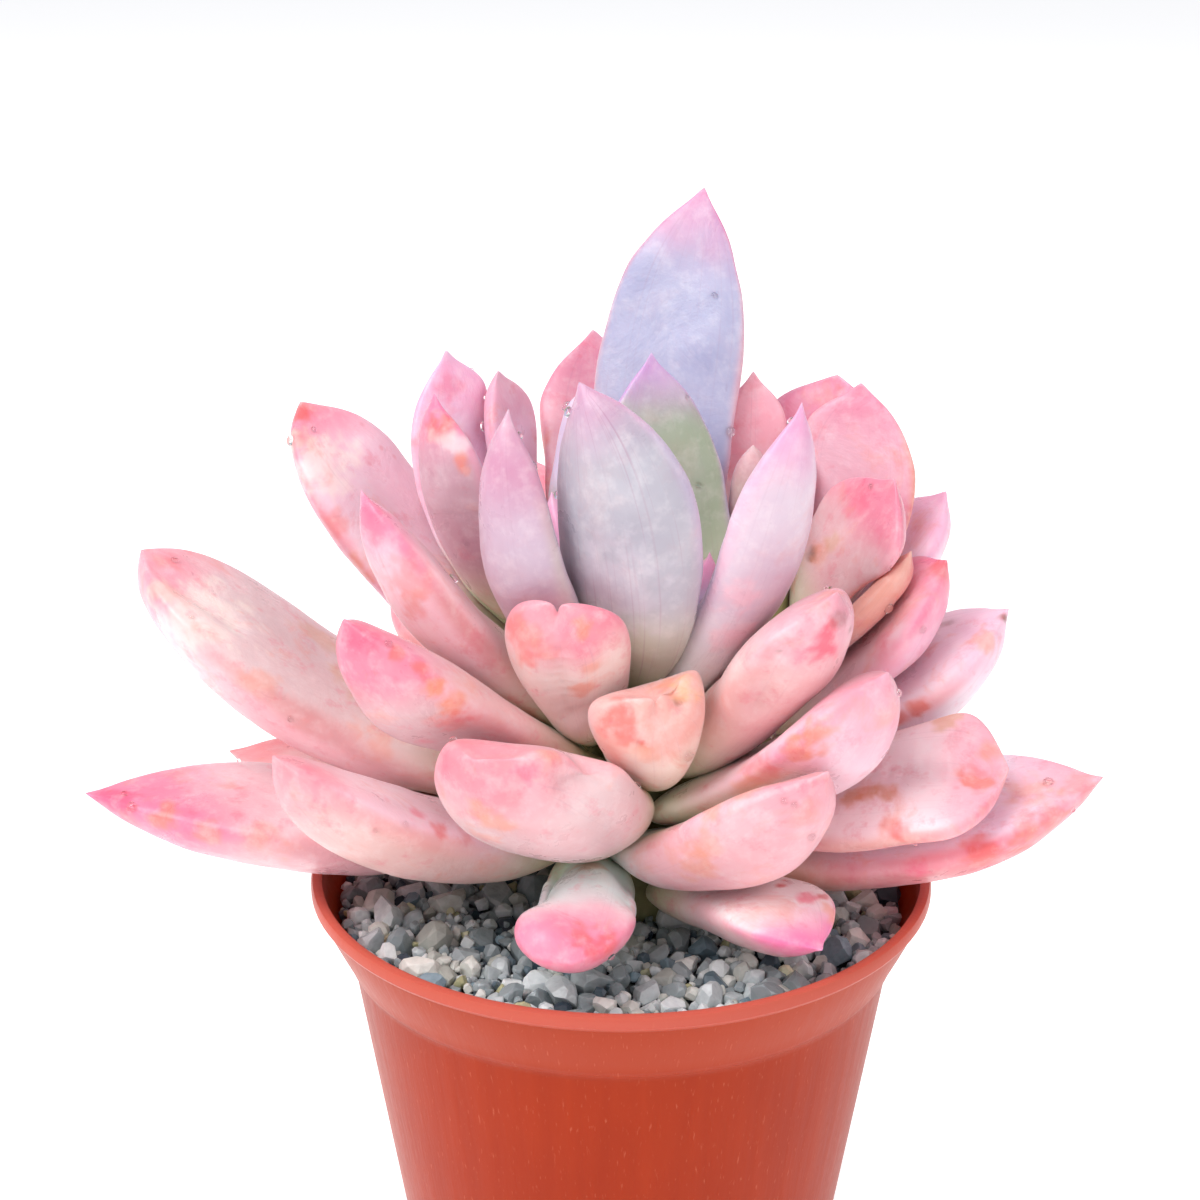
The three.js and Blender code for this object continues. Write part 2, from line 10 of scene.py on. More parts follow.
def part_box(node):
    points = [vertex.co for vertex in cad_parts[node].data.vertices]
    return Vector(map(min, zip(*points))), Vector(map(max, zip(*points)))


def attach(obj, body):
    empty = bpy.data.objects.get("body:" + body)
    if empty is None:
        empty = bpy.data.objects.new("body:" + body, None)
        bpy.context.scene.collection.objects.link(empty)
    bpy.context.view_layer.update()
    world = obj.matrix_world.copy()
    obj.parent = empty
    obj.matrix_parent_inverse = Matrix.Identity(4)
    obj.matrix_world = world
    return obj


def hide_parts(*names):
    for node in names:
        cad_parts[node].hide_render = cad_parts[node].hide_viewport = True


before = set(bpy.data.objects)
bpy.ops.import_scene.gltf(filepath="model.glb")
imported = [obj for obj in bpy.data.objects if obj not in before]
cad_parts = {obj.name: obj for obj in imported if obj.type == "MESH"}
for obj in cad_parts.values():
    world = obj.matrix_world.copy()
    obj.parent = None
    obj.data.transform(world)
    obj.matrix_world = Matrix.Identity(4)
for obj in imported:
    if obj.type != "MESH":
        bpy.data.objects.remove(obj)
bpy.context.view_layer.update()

# ---------------------------------------------------------------- camera
# A 75 mm lens a third of a metre away, looking a little down on the rosette from the front.
LOOK_DOWN = math.radians(20.3)
LOOK_AT = Vector((-0.0027, 0, 0.1084))
CAMERA_AWAY = 0.3116

bpy.ops.object.camera_add(
    location=LOOK_AT - Vector((0, math.cos(LOOK_DOWN), -math.sin(LOOK_DOWN))) * CAMERA_AWAY,
    rotation=(math.pi / 2 - LOOK_DOWN, 0, 0),
)
camera = bpy.context.object
camera.data.lens = 75
camera.data.sensor_width = 36
bpy.context.scene.camera = camera
bpy.context.scene.view_settings.view_transform = "Standard"

# ---------------------------------------------------------------- studio
# White seamless paper under a light tent: soft light from all round, with one large soft box high on the
# left and a smaller one on the right, so that the waxy leaves keep broad pale highlights.


def linear(hex_colour):
    """An sRGB hex colour as linear RGBA."""
    parts = [int(hex_colour[i : i + 2], 16) / 255 for i in (1, 3, 5)]
    return [(c / 12.92 if c <= 0.04045 else ((c + 0.055) / 1.055) ** 2.4) for c in parts] + [1.0]


def add_node(material, kind, links=(), **settings):
    """A node in a material: settings are its own properties, or its sockets' values where it has such a
    socket, and links are (from socket, to socket name or number) pairs."""
    node = material.node_tree.nodes.new(kind)
    for key, value in settings.items():
        if hasattr(node, key):
            setattr(node, key, value)
        else:
            named = key.replace("_", " ").lower()
            next(s for s in node.inputs if s.name.lower() == named and s.enabled).default_value = value
    for source, socket in links:
        material.node_tree.links.new(source, node.inputs[socket])
    return node


def new_material(name):
    """A material with only a Principled shader and an output, which are returned with it."""
    material = bpy.data.materials.new(name)
    material.use_nodes = True
    material.node_tree.nodes.clear()
    shader = add_node(material, "ShaderNodeBsdfPrincipled")
    add_node(material, "ShaderNodeOutputMaterial", [(shader.outputs[0], 0)])
    return material, shader


bpy.ops.mesh.primitive_plane_add(size=40)
floor = bpy.context.object
floor.name = "paper_floor"
paper, shader = new_material("matt white seamless paper")
shader.inputs["Base Color"].default_value = linear("#f4f4f4")
shader.inputs["Roughness"].default_value = 0.9
shader.inputs["Emission Color"].default_value = linear("#ffffff")
shader.inputs["Emission Strength"].default_value = 0.5
floor.data.materials.append(paper)

tent = bpy.data.worlds.new("light tent")
tent.use_nodes = True
tent.node_tree.nodes["Background"].inputs["Color"].default_value = linear("#f8f9ff")
tent.node_tree.nodes["Background"].inputs["Strength"].default_value = 0.46
bpy.context.scene.world = tent

PLANT_MIDDLE = Vector((0, 0, 0.1))
for name, place, size, power in (
    ("soft_box_left", (-0.5, -0.35, 0.9), 0.7, 9.5),
    ("soft_box_right", (0.6, -0.45, 0.6), 0.5, 1.9),
    ("soft_box_back", (0.1, 0.7, 0.8), 0.6, 1.8),
):
    bpy.ops.object.light_add(type="AREA", location=place)
    light = bpy.context.object
    light.name = name
    light.data.size = size
    light.data.energy = power
    light.rotation_euler = (PLANT_MIDDLE - Vector(place)).to_track_quat("-Z", "Y").to_euler()

# ---------------------------------------------------------------- nursery pot
# A thin round pot, injection-moulded in terracotta-red polypropylene: a rolled lip, a flared collar, a
# small step where pots nest in each other, a tapered body, and a floor with six drainage holes.
MM = 0.001
POT_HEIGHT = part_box("nursery_pot")[1].z / MM
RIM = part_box("nursery_pot")[1].x / MM
POT_SIDES = 160
WALL = 1.0
FLOOR = 1.3


def pot_rows():
    """The pot's outline as (radius, height) rows in mm, from the middle of its underside out, up over the
    lip and back down the inside."""
    foot, top = 24.8, POT_HEIGHT
    collar = RIM - 0.8
    rows = [(21.5, 0.9), (22.4, 0.15), (23.0, 0.0)]
    rows += [(foot - 0.4, 0.0), (foot + 0.1, 0.35), (foot + 0.6, 1.2)]
    taper = lambda z: foot + 0.6 + (RIM - 5.0 - foot - 0.6) * (z - 1.2) / (top - 11.9)
    rows += [(taper(z), z) for z in (8, 16, 24, 32, 40, 48, 55, top - 11.6)]
    step = taper(top - 11.6)
    rows += [(step + 0.12, top - 10.95), (collar - 3.95, top - 10.55), (collar - 3.62, top - 10.25)]
    rows += [(collar - 3.42, top - 9.7), (collar - 2.7, top - 8.2), (collar - 1.75, top - 6.3)]
    rows += [(collar - 0.85, top - 4.4), (collar - 0.25, top - 2.9), (collar, top - 2.25)]
    rows += [(RIM - 0.25, top - 1.85), (RIM, top - 1.45), (RIM, top - 0.55), (RIM - 0.2, top - 0.12)]
    rows += [(RIM - 0.55, top), (RIM - 1.05, top), (RIM - 1.4, top - 0.15), (RIM - 1.55, top - 0.6)]
    rows += [(collar - 1.15, top - 2.4), (collar - 1.45, top - 3.2), (collar - 2.0, top - 4.4)]
    rows += [(collar - 3.8, top - 8.2), (collar - 4.7, top - 10.4), (step - WALL, top - 12)]
    rows += [(taper(z) - WALL, z) for z in (50, 40, 28, 16, 6)]
    rows += [(foot - WALL + 0.1, 2.2), (foot - 1.8, FLOOR + 0.1), (foot - 3.2, FLOOR)]
    return rows


rows = pot_rows()
bpy.ops.mesh.primitive_circle_add(
    vertices=POT_SIDES, radius=rows[0][0] * MM, fill_type="NGON", location=(0, 0, rows[0][1] * MM)
)
nursery_pot = bpy.context.object
nursery_pot.name = "moulded_pot"
bpy.ops.object.transform_apply(location=True)
bpy.ops.object.mode_set(mode="EDIT")
bpy.ops.mesh.select_all(action="DESELECT")
bpy.ops.mesh.select_mode(type="EDGE")
bpy.ops.mesh.select_non_manifold(extend=False)
for (r0, z0), (r1, z1) in zip(rows, rows[1:]):
    bpy.ops.mesh.extrude_region_move(TRANSFORM_OT_translate={"value": (0, 0, (z1 - z0) * MM)})
    bpy.ops.transform.resize(value=(r1 / r0, r1 / r0, 1), center_override=(0, 0, z1 * MM))
bpy.ops.mesh.edge_face_add()
bpy.ops.mesh.select_all(action="SELECT")
bpy.ops.mesh.normals_make_consistent(inside=False)
bpy.ops.object.mode_set(mode="OBJECT")


def apply_modifiers(piece):
    """Applies all the modifiers of a piece."""
    bpy.ops.object.select_all(action="DESELECT")
    bpy.context.view_layer.objects.active = piece
    piece.select_set(True)
    for modifier in list(piece.modifiers):
        bpy.ops.object.modifier_apply(modifier=modifier.name)


HOLES, HOLE_CIRCLE, HOLE_RADIUS = 6, 14, 3  # how many, and in mm
for i in range(HOLES):
    turn = 2 * math.pi * i / HOLES
    bpy.ops.mesh.primitive_cylinder_add(
        vertices=32,
        radius=HOLE_RADIUS * MM,
        depth=6 * MM,
        location=(HOLE_CIRCLE * MM * math.cos(turn), HOLE_CIRCLE * MM * math.sin(turn), 0),
    )
    drill = bpy.context.object
    cut = nursery_pot.modifiers.new("drainage hole", "BOOLEAN")
    cut.object = drill
    cut.operation = "DIFFERENCE"
    apply_modifiers(nursery_pot)
    bpy.data.objects.remove(drill)
bpy.ops.object.shade_smooth_by_angle(angle=math.radians(32))

# Polypropylene straight from the mould: satin, a little translucent, with flow streaks down the wall,
# pale scuffs from stacking and a few stuck grains of dust.
moulded, shader = new_material("moulded terracotta polypropylene")
where = add_node(moulded, "ShaderNodeTexCoord").outputs["Object"]
x, y, height = add_node(moulded, "ShaderNodeSeparateXYZ", [(where, 0)]).outputs
turn = add_node(moulded, "ShaderNodeMath", [(y, 0), (x, 1)], operation="ARCTAN2").outputs[0]
# the wall unrolled: radians round it and metres up it
unrolled = add_node(moulded, "ShaderNodeCombineXYZ", [(turn, 0), (height, 1)]).outputs[0]
streak_place = add_node(moulded, "ShaderNodeMapping", [(unrolled, 0)], Scale=(9, 22, 1)).outputs[0]
streaks = add_node(moulded, "ShaderNodeTexNoise", [(streak_place, "Vector")], Scale=1.6, Detail=4)
cloud = add_node(moulded, "ShaderNodeTexNoise", [(where, "Vector")], Scale=45, Detail=3)
scuff_place = add_node(moulded, "ShaderNodeMapping", [(unrolled, 0)], Scale=(40, 260, 1)).outputs[0]
scuffs = add_node(moulded, "ShaderNodeTexNoise", [(scuff_place, "Vector")], Scale=2.2, Detail=6)
body = add_node(
    moulded, "ShaderNodeMix", [(streaks.outputs[0], 0)],
    data_type="RGBA", A=linear("#9b2b08"), B=linear("#ab350e"),
)
colour = body.outputs[2]
# laid over it in turn: darker clouds, the collar painted paler as painted light on its flare, the lip
# painted paler as a painted highlight, and the scuffs, each as a pattern, the run of it over which the
# layer comes in, how, how much of it shows at most, and its colour
for pattern, low, high, run, most, tint in (
    (cloud.outputs[0], 0.45, 0.75, "LINEAR", 0.35, "#92260a"),
    # painted light: the collar painted paler where the light falls brighter on its flare
    (height, (POT_HEIGHT - 11) * MM, (POT_HEIGHT - 9) * MM, "SMOOTHSTEP", 0.85, "#ad3d1e"),
    # painted highlight: the lip painted paler along the rim
    (height, (POT_HEIGHT - 2.6) * MM, (POT_HEIGHT - 1.2) * MM, "SMOOTHSTEP", 0.85, "#c75f50"),
    (scuffs.outputs[0], 0.62, 0.74, "LINEAR", 0.4, "#cf7358"),
):
    amount = add_node(
        moulded, "ShaderNodeMapRange", [(pattern, 0)],
        interpolation_type=run, From_Min=low, From_Max=high, To_Max=most,
    )
    layer = add_node(
        moulded, "ShaderNodeMix", [(amount.outputs[0], 0), (colour, 6)], data_type="RGBA", B=linear(tint)
    )
    colour = layer.outputs[2]
specks = add_node(moulded, "ShaderNodeTexVoronoi", [(where, "Vector")], Scale=230)
speck = add_node(
    moulded, "ShaderNodeMapRange", [(specks.outputs["Distance"], 0)], From_Min=0.09, From_Max=0.05
)
rare = add_node(moulded, "ShaderNodeMath", [(specks.outputs["Color"], 0)], operation="GREATER_THAN")
rare.inputs[1].default_value = 0.86
dust = add_node(
    moulded, "ShaderNodeMath", [(speck.outputs[0], 0), (rare.outputs[0], 1)], operation="MULTIPLY"
)
dusty = add_node(
    moulded, "ShaderNodeMix", [(dust.outputs[0], 0), (colour, 6)], data_type="RGBA", B=linear("#e9b9a4")
)
moulded.node_tree.links.new(dusty.outputs[2], shader.inputs["Base Color"])
dull = add_node(moulded, "ShaderNodeMapRange", [(scuffs.outputs[0], 0)], To_Min=0.24, To_Max=0.46)
moulded.node_tree.links.new(dull.outputs[0], shader.inputs["Roughness"])
ripple = add_node(
    moulded, "ShaderNodeBump", [(streaks.outputs[0], "Height")], Strength=0.25, Distance=0.0004
)
fine = add_node(
    moulded,
    "ShaderNodeBump",
    [(scuffs.outputs[0], "Height"), (ripple.outputs[0], "Normal")],
    Strength=0.15,
    Distance=0.0001,
)
moulded.node_tree.links.new(fine.outputs[0], shader.inputs["Normal"])
shader.inputs["IOR"].default_value = 1.49
shader.inputs["Specular IOR Level"].default_value = 0.14
shader.inputs["Subsurface Weight"].default_value = 0.12
shader.inputs["Subsurface Radius"].default_value = (1.0, 0.3, 0.2)
shader.inputs["Subsurface Scale"].default_value = 0.0015
nursery_pot.data.materials.clear()
nursery_pot.data.materials.append(moulded)
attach(nursery_pot, "root")
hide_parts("nursery_pot")

# ---------------------------------------------------------------- potting mix
# Damp peat and fine bark, seen only through the drainage holes, where it keeps the CAD solid's shape.
peat, shader = new_material("damp peat and bark mix")
where = add_node(peat, "ShaderNodeTexCoord").outputs["Object"]
crumbs = add_node(peat, "ShaderNodeTexVoronoi", [(where, "Vector")], Scale=420)
shade = add_node(
    peat, "ShaderNodeMix", [(crumbs.outputs["Color"], 0)],
    data_type="RGBA", A=linear("#1e1510"), B=linear("#5d4632"),
)
peat.node_tree.links.new(shade.outputs[2], shader.inputs["Base Color"])
bump = add_node(
    peat, "ShaderNodeBump", [(crumbs.outputs["Distance"], "Height")], Strength=0.8, Distance=0.001
)
peat.node_tree.links.new(bump.outputs[0], shader.inputs["Normal"])
shader.inputs["Roughness"].default_value = 0.95
potting_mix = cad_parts["potting_mix"]
potting_mix.data.materials.clear()
potting_mix.data.materials.append(peat)

# ---------------------------------------------------------------- grit
# The top dressing: a layer of loose crushed grit, 1 to 5 mm, washed quartz and pumice with blue-black
# basalt and a few cream grains. The stones lie on a bed of their own dark fines.
random.seed(7)
GRIT_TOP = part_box("grit_layer")[1].z / MM
GRIT_REACH = 36.4  # how far out it goes, just short of the wall at that height
STONE_SIZES = ((58, 2.0, 3.0), (240, 1.2, 1.9), (560, 0.75, 1.2), (1000, 0.4, 0.75))  # how many, radii
KIND_SHARES = (0.6, 0.17, 0.17, 0.06)  # grey quartz, white pumice, basalt, cream and olive
FLATS = 13  # how many flats are broken off a stone
TRIES = 30  # how often a stone looks for a free place
CELL = 6  # the width of the squares by which near stones are found
CLOSE = 0.74  # how near two stones lie, as a share of the sum of their radii
STONE_FULLER = 1.3  # makes up for what the flats take off
BED_DEPTH = 1.9


def crushed_stone(seed):
    """The points and faces of one angular stone about 2 across: a ball with several flats broken off."""
    rng = random.Random(seed)
    bpy.ops.mesh.primitive_ico_sphere_add(subdivisions=2, radius=1)
    stone = bpy.context.object
    bpy.ops.object.mode_set(mode="EDIT")
    bpy.ops.mesh.select_all(action="SELECT")
    bpy.ops.transform.resize(value=(1.0, rng.uniform(0.72, 0.95), rng.uniform(0.6, 0.85)))
    for _ in range(FLATS):
        away = Vector([rng.gauss(0, 1) for _ in range(3)]).normalized()
        bpy.ops.mesh.select_all(action="SELECT")
        bpy.ops.mesh.bisect(
            plane_co=away * rng.uniform(0.42, 0.72), plane_no=away, use_fill=True, clear_outer=True
        )
    bpy.ops.mesh.select_all(action="SELECT")
    bpy.ops.mesh.remove_doubles(threshold=0.14)
    bpy.ops.mesh.quads_convert_to_tris()
    bpy.ops.object.mode_set(mode="OBJECT")
    points = np.array([v.co for v in stone.data.vertices])
    faces = np.array([list(p.vertices) for p in stone.data.polygons])
    bpy.data.objects.remove(stone)
    return points, faces


shapes = [crushed_stone(seed) for seed in range(12)]


def scattered_stones():
    """Stones as (x, y, z, radius, kind) in mm, the largest first, each clear of those already laid."""
    laid, cells = [], {}
    sizes = [random.uniform(low, high) for count, low, high in STONE_SIZES for _ in range(count)]
    for radius in sizes:
        for _ in range(TRIES):
            out = GRIT_REACH * math.sqrt(random.random()) - radius * 0.5
            turn = random.uniform(0, 2 * math.pi)
            x, y = out * math.cos(turn), out * math.sin(turn)
            z = GRIT_TOP - 0.9 + random.uniform(-0.9, 0.5) + (0.3 if radius > 1.9 else 0)
            column, row = int(x // CELL), int(y // CELL)
            near = [s for i in (-1, 0, 1) for j in (-1, 0, 1) for s in cells.get((column + i, row + j), ())]
            if all(math.dist((x, y, z), s[:3]) > CLOSE * (radius + s[3]) for s in near):
                stone = (x, y, z, radius, random.choices(range(len(KIND_SHARES)), KIND_SHARES)[0])
                laid.append(stone)
                cells.setdefault((column, row), []).append(stone)
                break
    return laid


points, faces, kinds, shades = [], [], [], []
start = 0
for x, y, z, radius, kind in scattered_stones():
    shape_points, shape_faces = random.choice(shapes)
    spin = np.array(Euler([random.uniform(0, 2 * math.pi) for _ in range(3)]).to_matrix())
    points.append((shape_points @ spin.T * radius * STONE_FULLER + (x, y, z)) * MM)
    faces.append(shape_faces + start)
    kinds += [kind] * len(shape_faces)
    shades += [random.random()] * len(shape_points)
    start += len(shape_points)

# the bed of fines below them
bpy.ops.mesh.primitive_circle_add(
    vertices=96,
    radius=(GRIT_REACH - 0.2) * MM,
    fill_type="TRIFAN",
    location=(0, 0, (GRIT_TOP - BED_DEPTH) * MM),
)
bed = bpy.context.object
bpy.ops.object.transform_apply(location=True)
bpy.ops.object.mode_set(mode="EDIT")
bpy.ops.mesh.select_all(action="SELECT")
bpy.ops.mesh.subdivide(number_cuts=7)
bpy.ops.object.mode_set(mode="OBJECT")
for v in bed.data.vertices:
    v.co.z += 0.5 * MM * noise.noise(v.co * 700)

stones_mesh = bpy.data.meshes.new("top_dressing")
stones_mesh.from_pydata(np.concatenate(points).tolist(), [], np.concatenate(faces).tolist())
stones_mesh.polygons.foreach_set("material_index", kinds)
stones_mesh.attributes.new("shade", "FLOAT", "POINT").data.foreach_set("value", shades)
top_dressing = bpy.data.objects.new("top_dressing", stones_mesh)
bpy.context.scene.collection.objects.link(top_dressing)


def stone_material(name, dark, light, rough, clear=0.0):
    """A crushed stone: mottled between two colours, each stone a little different, with gritty bumps."""
    stone, shader = new_material(name)
    where = add_node(stone, "ShaderNodeTexCoord").outputs["Object"]
    shade = add_node(stone, "ShaderNodeAttribute", attribute_name="shade").outputs["Fac"]
    grains = add_node(stone, "ShaderNodeTexNoise", [(where, "Vector")], Scale=900, Detail=4)
    both = add_node(
        stone, "ShaderNodeMath", [(grains.outputs[0], 0), (shade, 1), (shade, 2)], operation="MULTIPLY_ADD"
    )
    spread = add_node(stone, "ShaderNodeMapRange", [(both.outputs[0], 0)], From_Min=0.35, From_Max=1.45)
    colour = add_node(
        stone, "ShaderNodeMix", [(spread.outputs[0], 0)],
        data_type="RGBA", A=linear(dark), B=linear(light),
    )
    stone.node_tree.links.new(colour.outputs[2], shader.inputs["Base Color"])
    bump = add_node(
        stone, "ShaderNodeBump", [(grains.outputs[0], "Height")], Strength=0.55, Distance=0.0004
    )
    stone.node_tree.links.new(bump.outputs[0], shader.inputs["Normal"])
    shader.inputs["Roughness"].default_value = rough
    shader.inputs["IOR"].default_value = 1.54
    shader.inputs["Subsurface Weight"].default_value = clear
    shader.inputs["Subsurface Radius"].default_value = (1.0, 1.0, 1.1)
    shader.inputs["Subsurface Scale"].default_value = 0.0012
    return stone


for stone in (
    stone_material("grey crushed quartz", "#929da0", "#eef5f6", 0.25, 0.6),
    stone_material("white pumice", "#b9bcb4", "#fdfdf6", 0.5, 0.3),
    stone_material("blue-black basalt", "#2c3c48", "#8ca3ae", 0.4),
    stone_material("cream and olive grains", "#b5b48a", "#f2eecb", 0.5, 0.2),
    stone_material("dark fines", "#4a5050", "#a3a8a6", 0.9),
):
    top_dressing.data.materials.append(stone)
bed.data.materials.append(stone)  # the last of them, the fines
bpy.ops.object.select_all(action="DESELECT")
bed.select_set(True)
top_dressing.select_set(True)
bpy.context.view_layer.objects.active = top_dressing
bpy.ops.object.join()
bpy.ops.object.shade_smooth_by_angle(angle=math.radians(16))
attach(top_dressing, "root")
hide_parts("grit_layer")

# ---------------------------------------------------------------- stem
# The short fleshy stem that branches into three heads, green-brown and ridged where old leaves came off.


def merged_copy(node, name):
    """A new piece from a CAD node's mesh, with its loose triangles joined."""
    piece = bpy.data.objects.new(name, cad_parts[node].data.copy())
    bpy.context.scene.collection.objects.link(piece)
    bpy.ops.object.select_all(action="DESELECT")
    piece.select_set(True)
    bpy.context.view_layer.objects.active = piece
    bpy.ops.object.mode_set(mode="EDIT")
    bpy.ops.mesh.select_all(action="SELECT")
    bpy.ops.mesh.remove_doubles(threshold=0.000002)
    bpy.ops.object.mode_set(mode="OBJECT")
    if piece.data.has_custom_normals:
        bpy.ops.mesh.customdata_custom_splitnormals_clear()
    piece.data.materials.clear()
    return piece


stem = merged_copy("stem", "fleshy_stem")
stem.modifiers.new("round", "SUBSURF").levels = 2
apply_modifiers(stem)


def points_of(mesh):
    """A mesh's points as rows of x, y, z."""
    flat = np.zeros(len(mesh.vertices) * 3, np.float32)
    mesh.vertices.foreach_get("co", flat)
    return flat.reshape(-1, 3).astype(float)


def waves(points, size, seed):
    """Soft noise between -1 and 1 at each point, its lumps about size mm across."""
    shift = Vector((seed * 3.1, seed * 1.7, seed * 2.3))
    return np.array([noise.noise(Vector(p) / (size * MM) + shift) for p in points.tolist()])


def swell(mesh, lift):
    """Moves each point of a mesh out along its normal by its own lift, in mm."""
    normals = np.zeros(len(mesh.vertices) * 3, np.float32)
    mesh.vertex_normals.foreach_get("vector", normals)
    moved = points_of(mesh) + normals.reshape(-1, 3) * (lift * MM)[:, None]
    mesh.vertices.foreach_set("co", moved.astype(np.float32).ravel())
    mesh.update()


swell(stem.data, 0.35 * waves(points_of(stem.data), 3.8, 1))
bpy.ops.object.shade_smooth()
bark, shader = new_material("green-brown succulent stem")
where = add_node(bark, "ShaderNodeTexCoord").outputs["Object"]
scars = add_node(bark, "ShaderNodeTexNoise", [(where, "Vector")], Scale=240, Detail=5)
colour = add_node(
    bark, "ShaderNodeMix", [(scars.outputs[0], 0)],
    data_type="RGBA", A=linear("#7d8050"), B=linear("#c9c493"),
)
bark.node_tree.links.new(colour.outputs[2], shader.inputs["Base Color"])
bump = add_node(bark, "ShaderNodeBump", [(scars.outputs[0], "Height")], Strength=0.4, Distance=0.0006)
bark.node_tree.links.new(bump.outputs[0], shader.inputs["Normal"])
shader.inputs["Roughness"].default_value = 0.6
stem.data.materials.append(bark)
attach(stem, "root")
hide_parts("stem")

# ---------------------------------------------------------------- leaves
# Each leaf is thick, water-filled flesh under a waxy skin with a powdery bloom: cream-green at the foot,
# pink to lilac along the blade, coral or hot pink at the tip and edges, with orange rub marks and freckles.
# Its colours also carry painted light and shade, and two leaves have a painted highlight.
RING = 12  # points round each ring of a leaf's CAD mesh, and rings along it
STATIONS = (0, 0.08, 0.18, 0.29, 0.4, 0.51, 0.62, 0.72, 0.81, 0.89, 0.95, 0.985)
FULLER = 1.045  # subdivision draws a twelve-sided ring in by this much, so each ring starts that much out
FOOT_PLUMP = 0.2  # how much fuller still a leaf is at its foot, where it presses on its neighbours
LENS = 0.3  # how far a leaf's section goes from an ellipse towards a lens with sharp edges
TIP_CREASE = 0.85  # how little subdivision rounds off the tip
CREASE_STEPS = 9  # places along a crease from which its width is measured


def read(mesh, name):
    """One of a mesh's number attributes, at each of its points."""
    values = np.zeros(len(mesh.vertices), np.float32)
    mesh.attributes[name].data.foreach_get("value", values)
    return values


def smooth(low, high, x):
    """0 below low and 1 above high, with a soft run between, or the other way round if low > high."""
    share = np.clip((x - low) / (high - low), 0, 1)
    return share * share * (3 - 2 * share)


def over(colours, colour, amount):
    """Colours with another laid over them by an amount from 0 to 1 at each point."""
    return colours + (np.array(linear(colour)[:3]) - colours) * np.clip(amount, 0, 1)[:, None]


def leaf_rings(piece):
    """A leaf's foot, its rings from foot to tip as a 12 x 12 x 3 array, and its tip. In each ring, point 0
    is on the leaf's anticlockwise edge as seen from above, point 3 on its upper face, and so on round."""
    bm = bmesh.new()
    bm.from_mesh(piece.data)
    foot, tip = [v for v in bm.verts if len(v.link_edges) == RING]

    def rings_from(pole):
        follow = {loop.link_loop_next.vert: loop.link_loop_prev.vert for loop in pole.link_loops}
        ring = [next(iter(follow))]
        while len(ring) < RING:
            ring.append(follow[ring[-1]])
        seen = {pole, *ring}
        rings = [ring]
        while len(rings) < RING:
            ring = [
                next(
                    loop.link_loop_prev.vert
                    for loop in v.link_loops
                    if loop.link_loop_prev.vert not in seen and loop.link_loop_next.vert not in seen
                )
                for v in ring
            ]
            seen.update(ring)
            rings.append(ring)
        return rings

    rings = np.array([[v.co for v in ring] for ring in rings_from(foot)])
    middles = rings.mean(1)
    if np.linalg.norm(middles[1] - middles[0]) < np.linalg.norm(middles[-1] - middles[-2]):
        foot, tip = tip, foot
        rings = np.array([[v.co for v in ring] for ring in rings_from(foot)])
        middles = rings.mean(1)
    rings = rings[:, ::-1]
    ends = np.array(foot.co), np.array(tip.co)
    bm.free()
    along = middles[8] - middles[2]
    along /= np.linalg.norm(along)
    up = np.array((0, 0, 1)) - along * along[2]
    out = (rings - middles[:, None])[3:9].mean(0)
    edge = max(range(RING // 2), key=lambda s: np.linalg.norm(out[s] - out[s + RING // 2]))
    if out[(edge + 3) % RING] @ up < out[(edge + 9) % RING] @ up:
        edge += RING // 2
    return ends[0], np.roll(rings, -edge, axis=1), ends[1]


def leaf_mesh(piece, foot, rings, tip):
    """Puts a clean mesh of four-sided faces into a leaf, with how far along, across and up it each point
    lies, for its paint."""
    middles = rings.mean(1, keepdims=True)
    angles = np.arange(RING) * 2 * math.pi / RING
    upper = rings[:, 3:4] - rings[:, 9:10]
    upper /= np.linalg.norm(upper, axis=2, keepdims=True) + 1e-9
    out = (rings - middles) * (FULLER + FOOT_PLUMP * smooth(0.5, 0.12, np.array(STATIONS)))[:, None, None]
    lift = (out * upper).sum(2, keepdims=True)
    blade = smooth(0.2, 0.5, np.array(STATIONS))[:, None, None]
    thinner = LENS * blade * (1 - np.abs(np.sin(angles)))[None, :, None]
    rings = middles + out - upper * lift * thinner
    corners = [foot, *rings.reshape(-1, 3), tip]
    at = lambda r, s: 1 + r * RING + s % RING
    quads = [
        (at(r, s), at(r, s + 1), at(r + 1, s + 1), at(r + 1, s))
        for r in range(RING - 1)
        for s in range(RING)
    ]
    caps = [(0, at(0, s + 1), at(0, s)) for s in range(RING)]
    caps += [(len(corners) - 1, at(RING - 1, s), at(RING - 1, s + 1)) for s in range(RING)]
    mesh = bpy.data.meshes.new(piece.name)
    mesh.from_pydata([tuple(c) for c in corners], [], quads + caps)
    values = {
        "along": [0.0] + [t for t in STATIONS for _ in range(RING)] + [1.0],
        "across": [0.0] + [math.cos(a) for _ in STATIONS for a in angles] + [0.0],
        "face": [0.0] + [math.sin(a) for _ in STATIONS for a in angles] + [0.0],
        "crease_vert": [0.0] * (len(corners) - 1) + [TIP_CREASE],
    }
    for name, numbers in values.items():
        mesh.attributes.new(name, "FLOAT", "POINT").data.foreach_set("value", numbers)
    piece.data = mesh
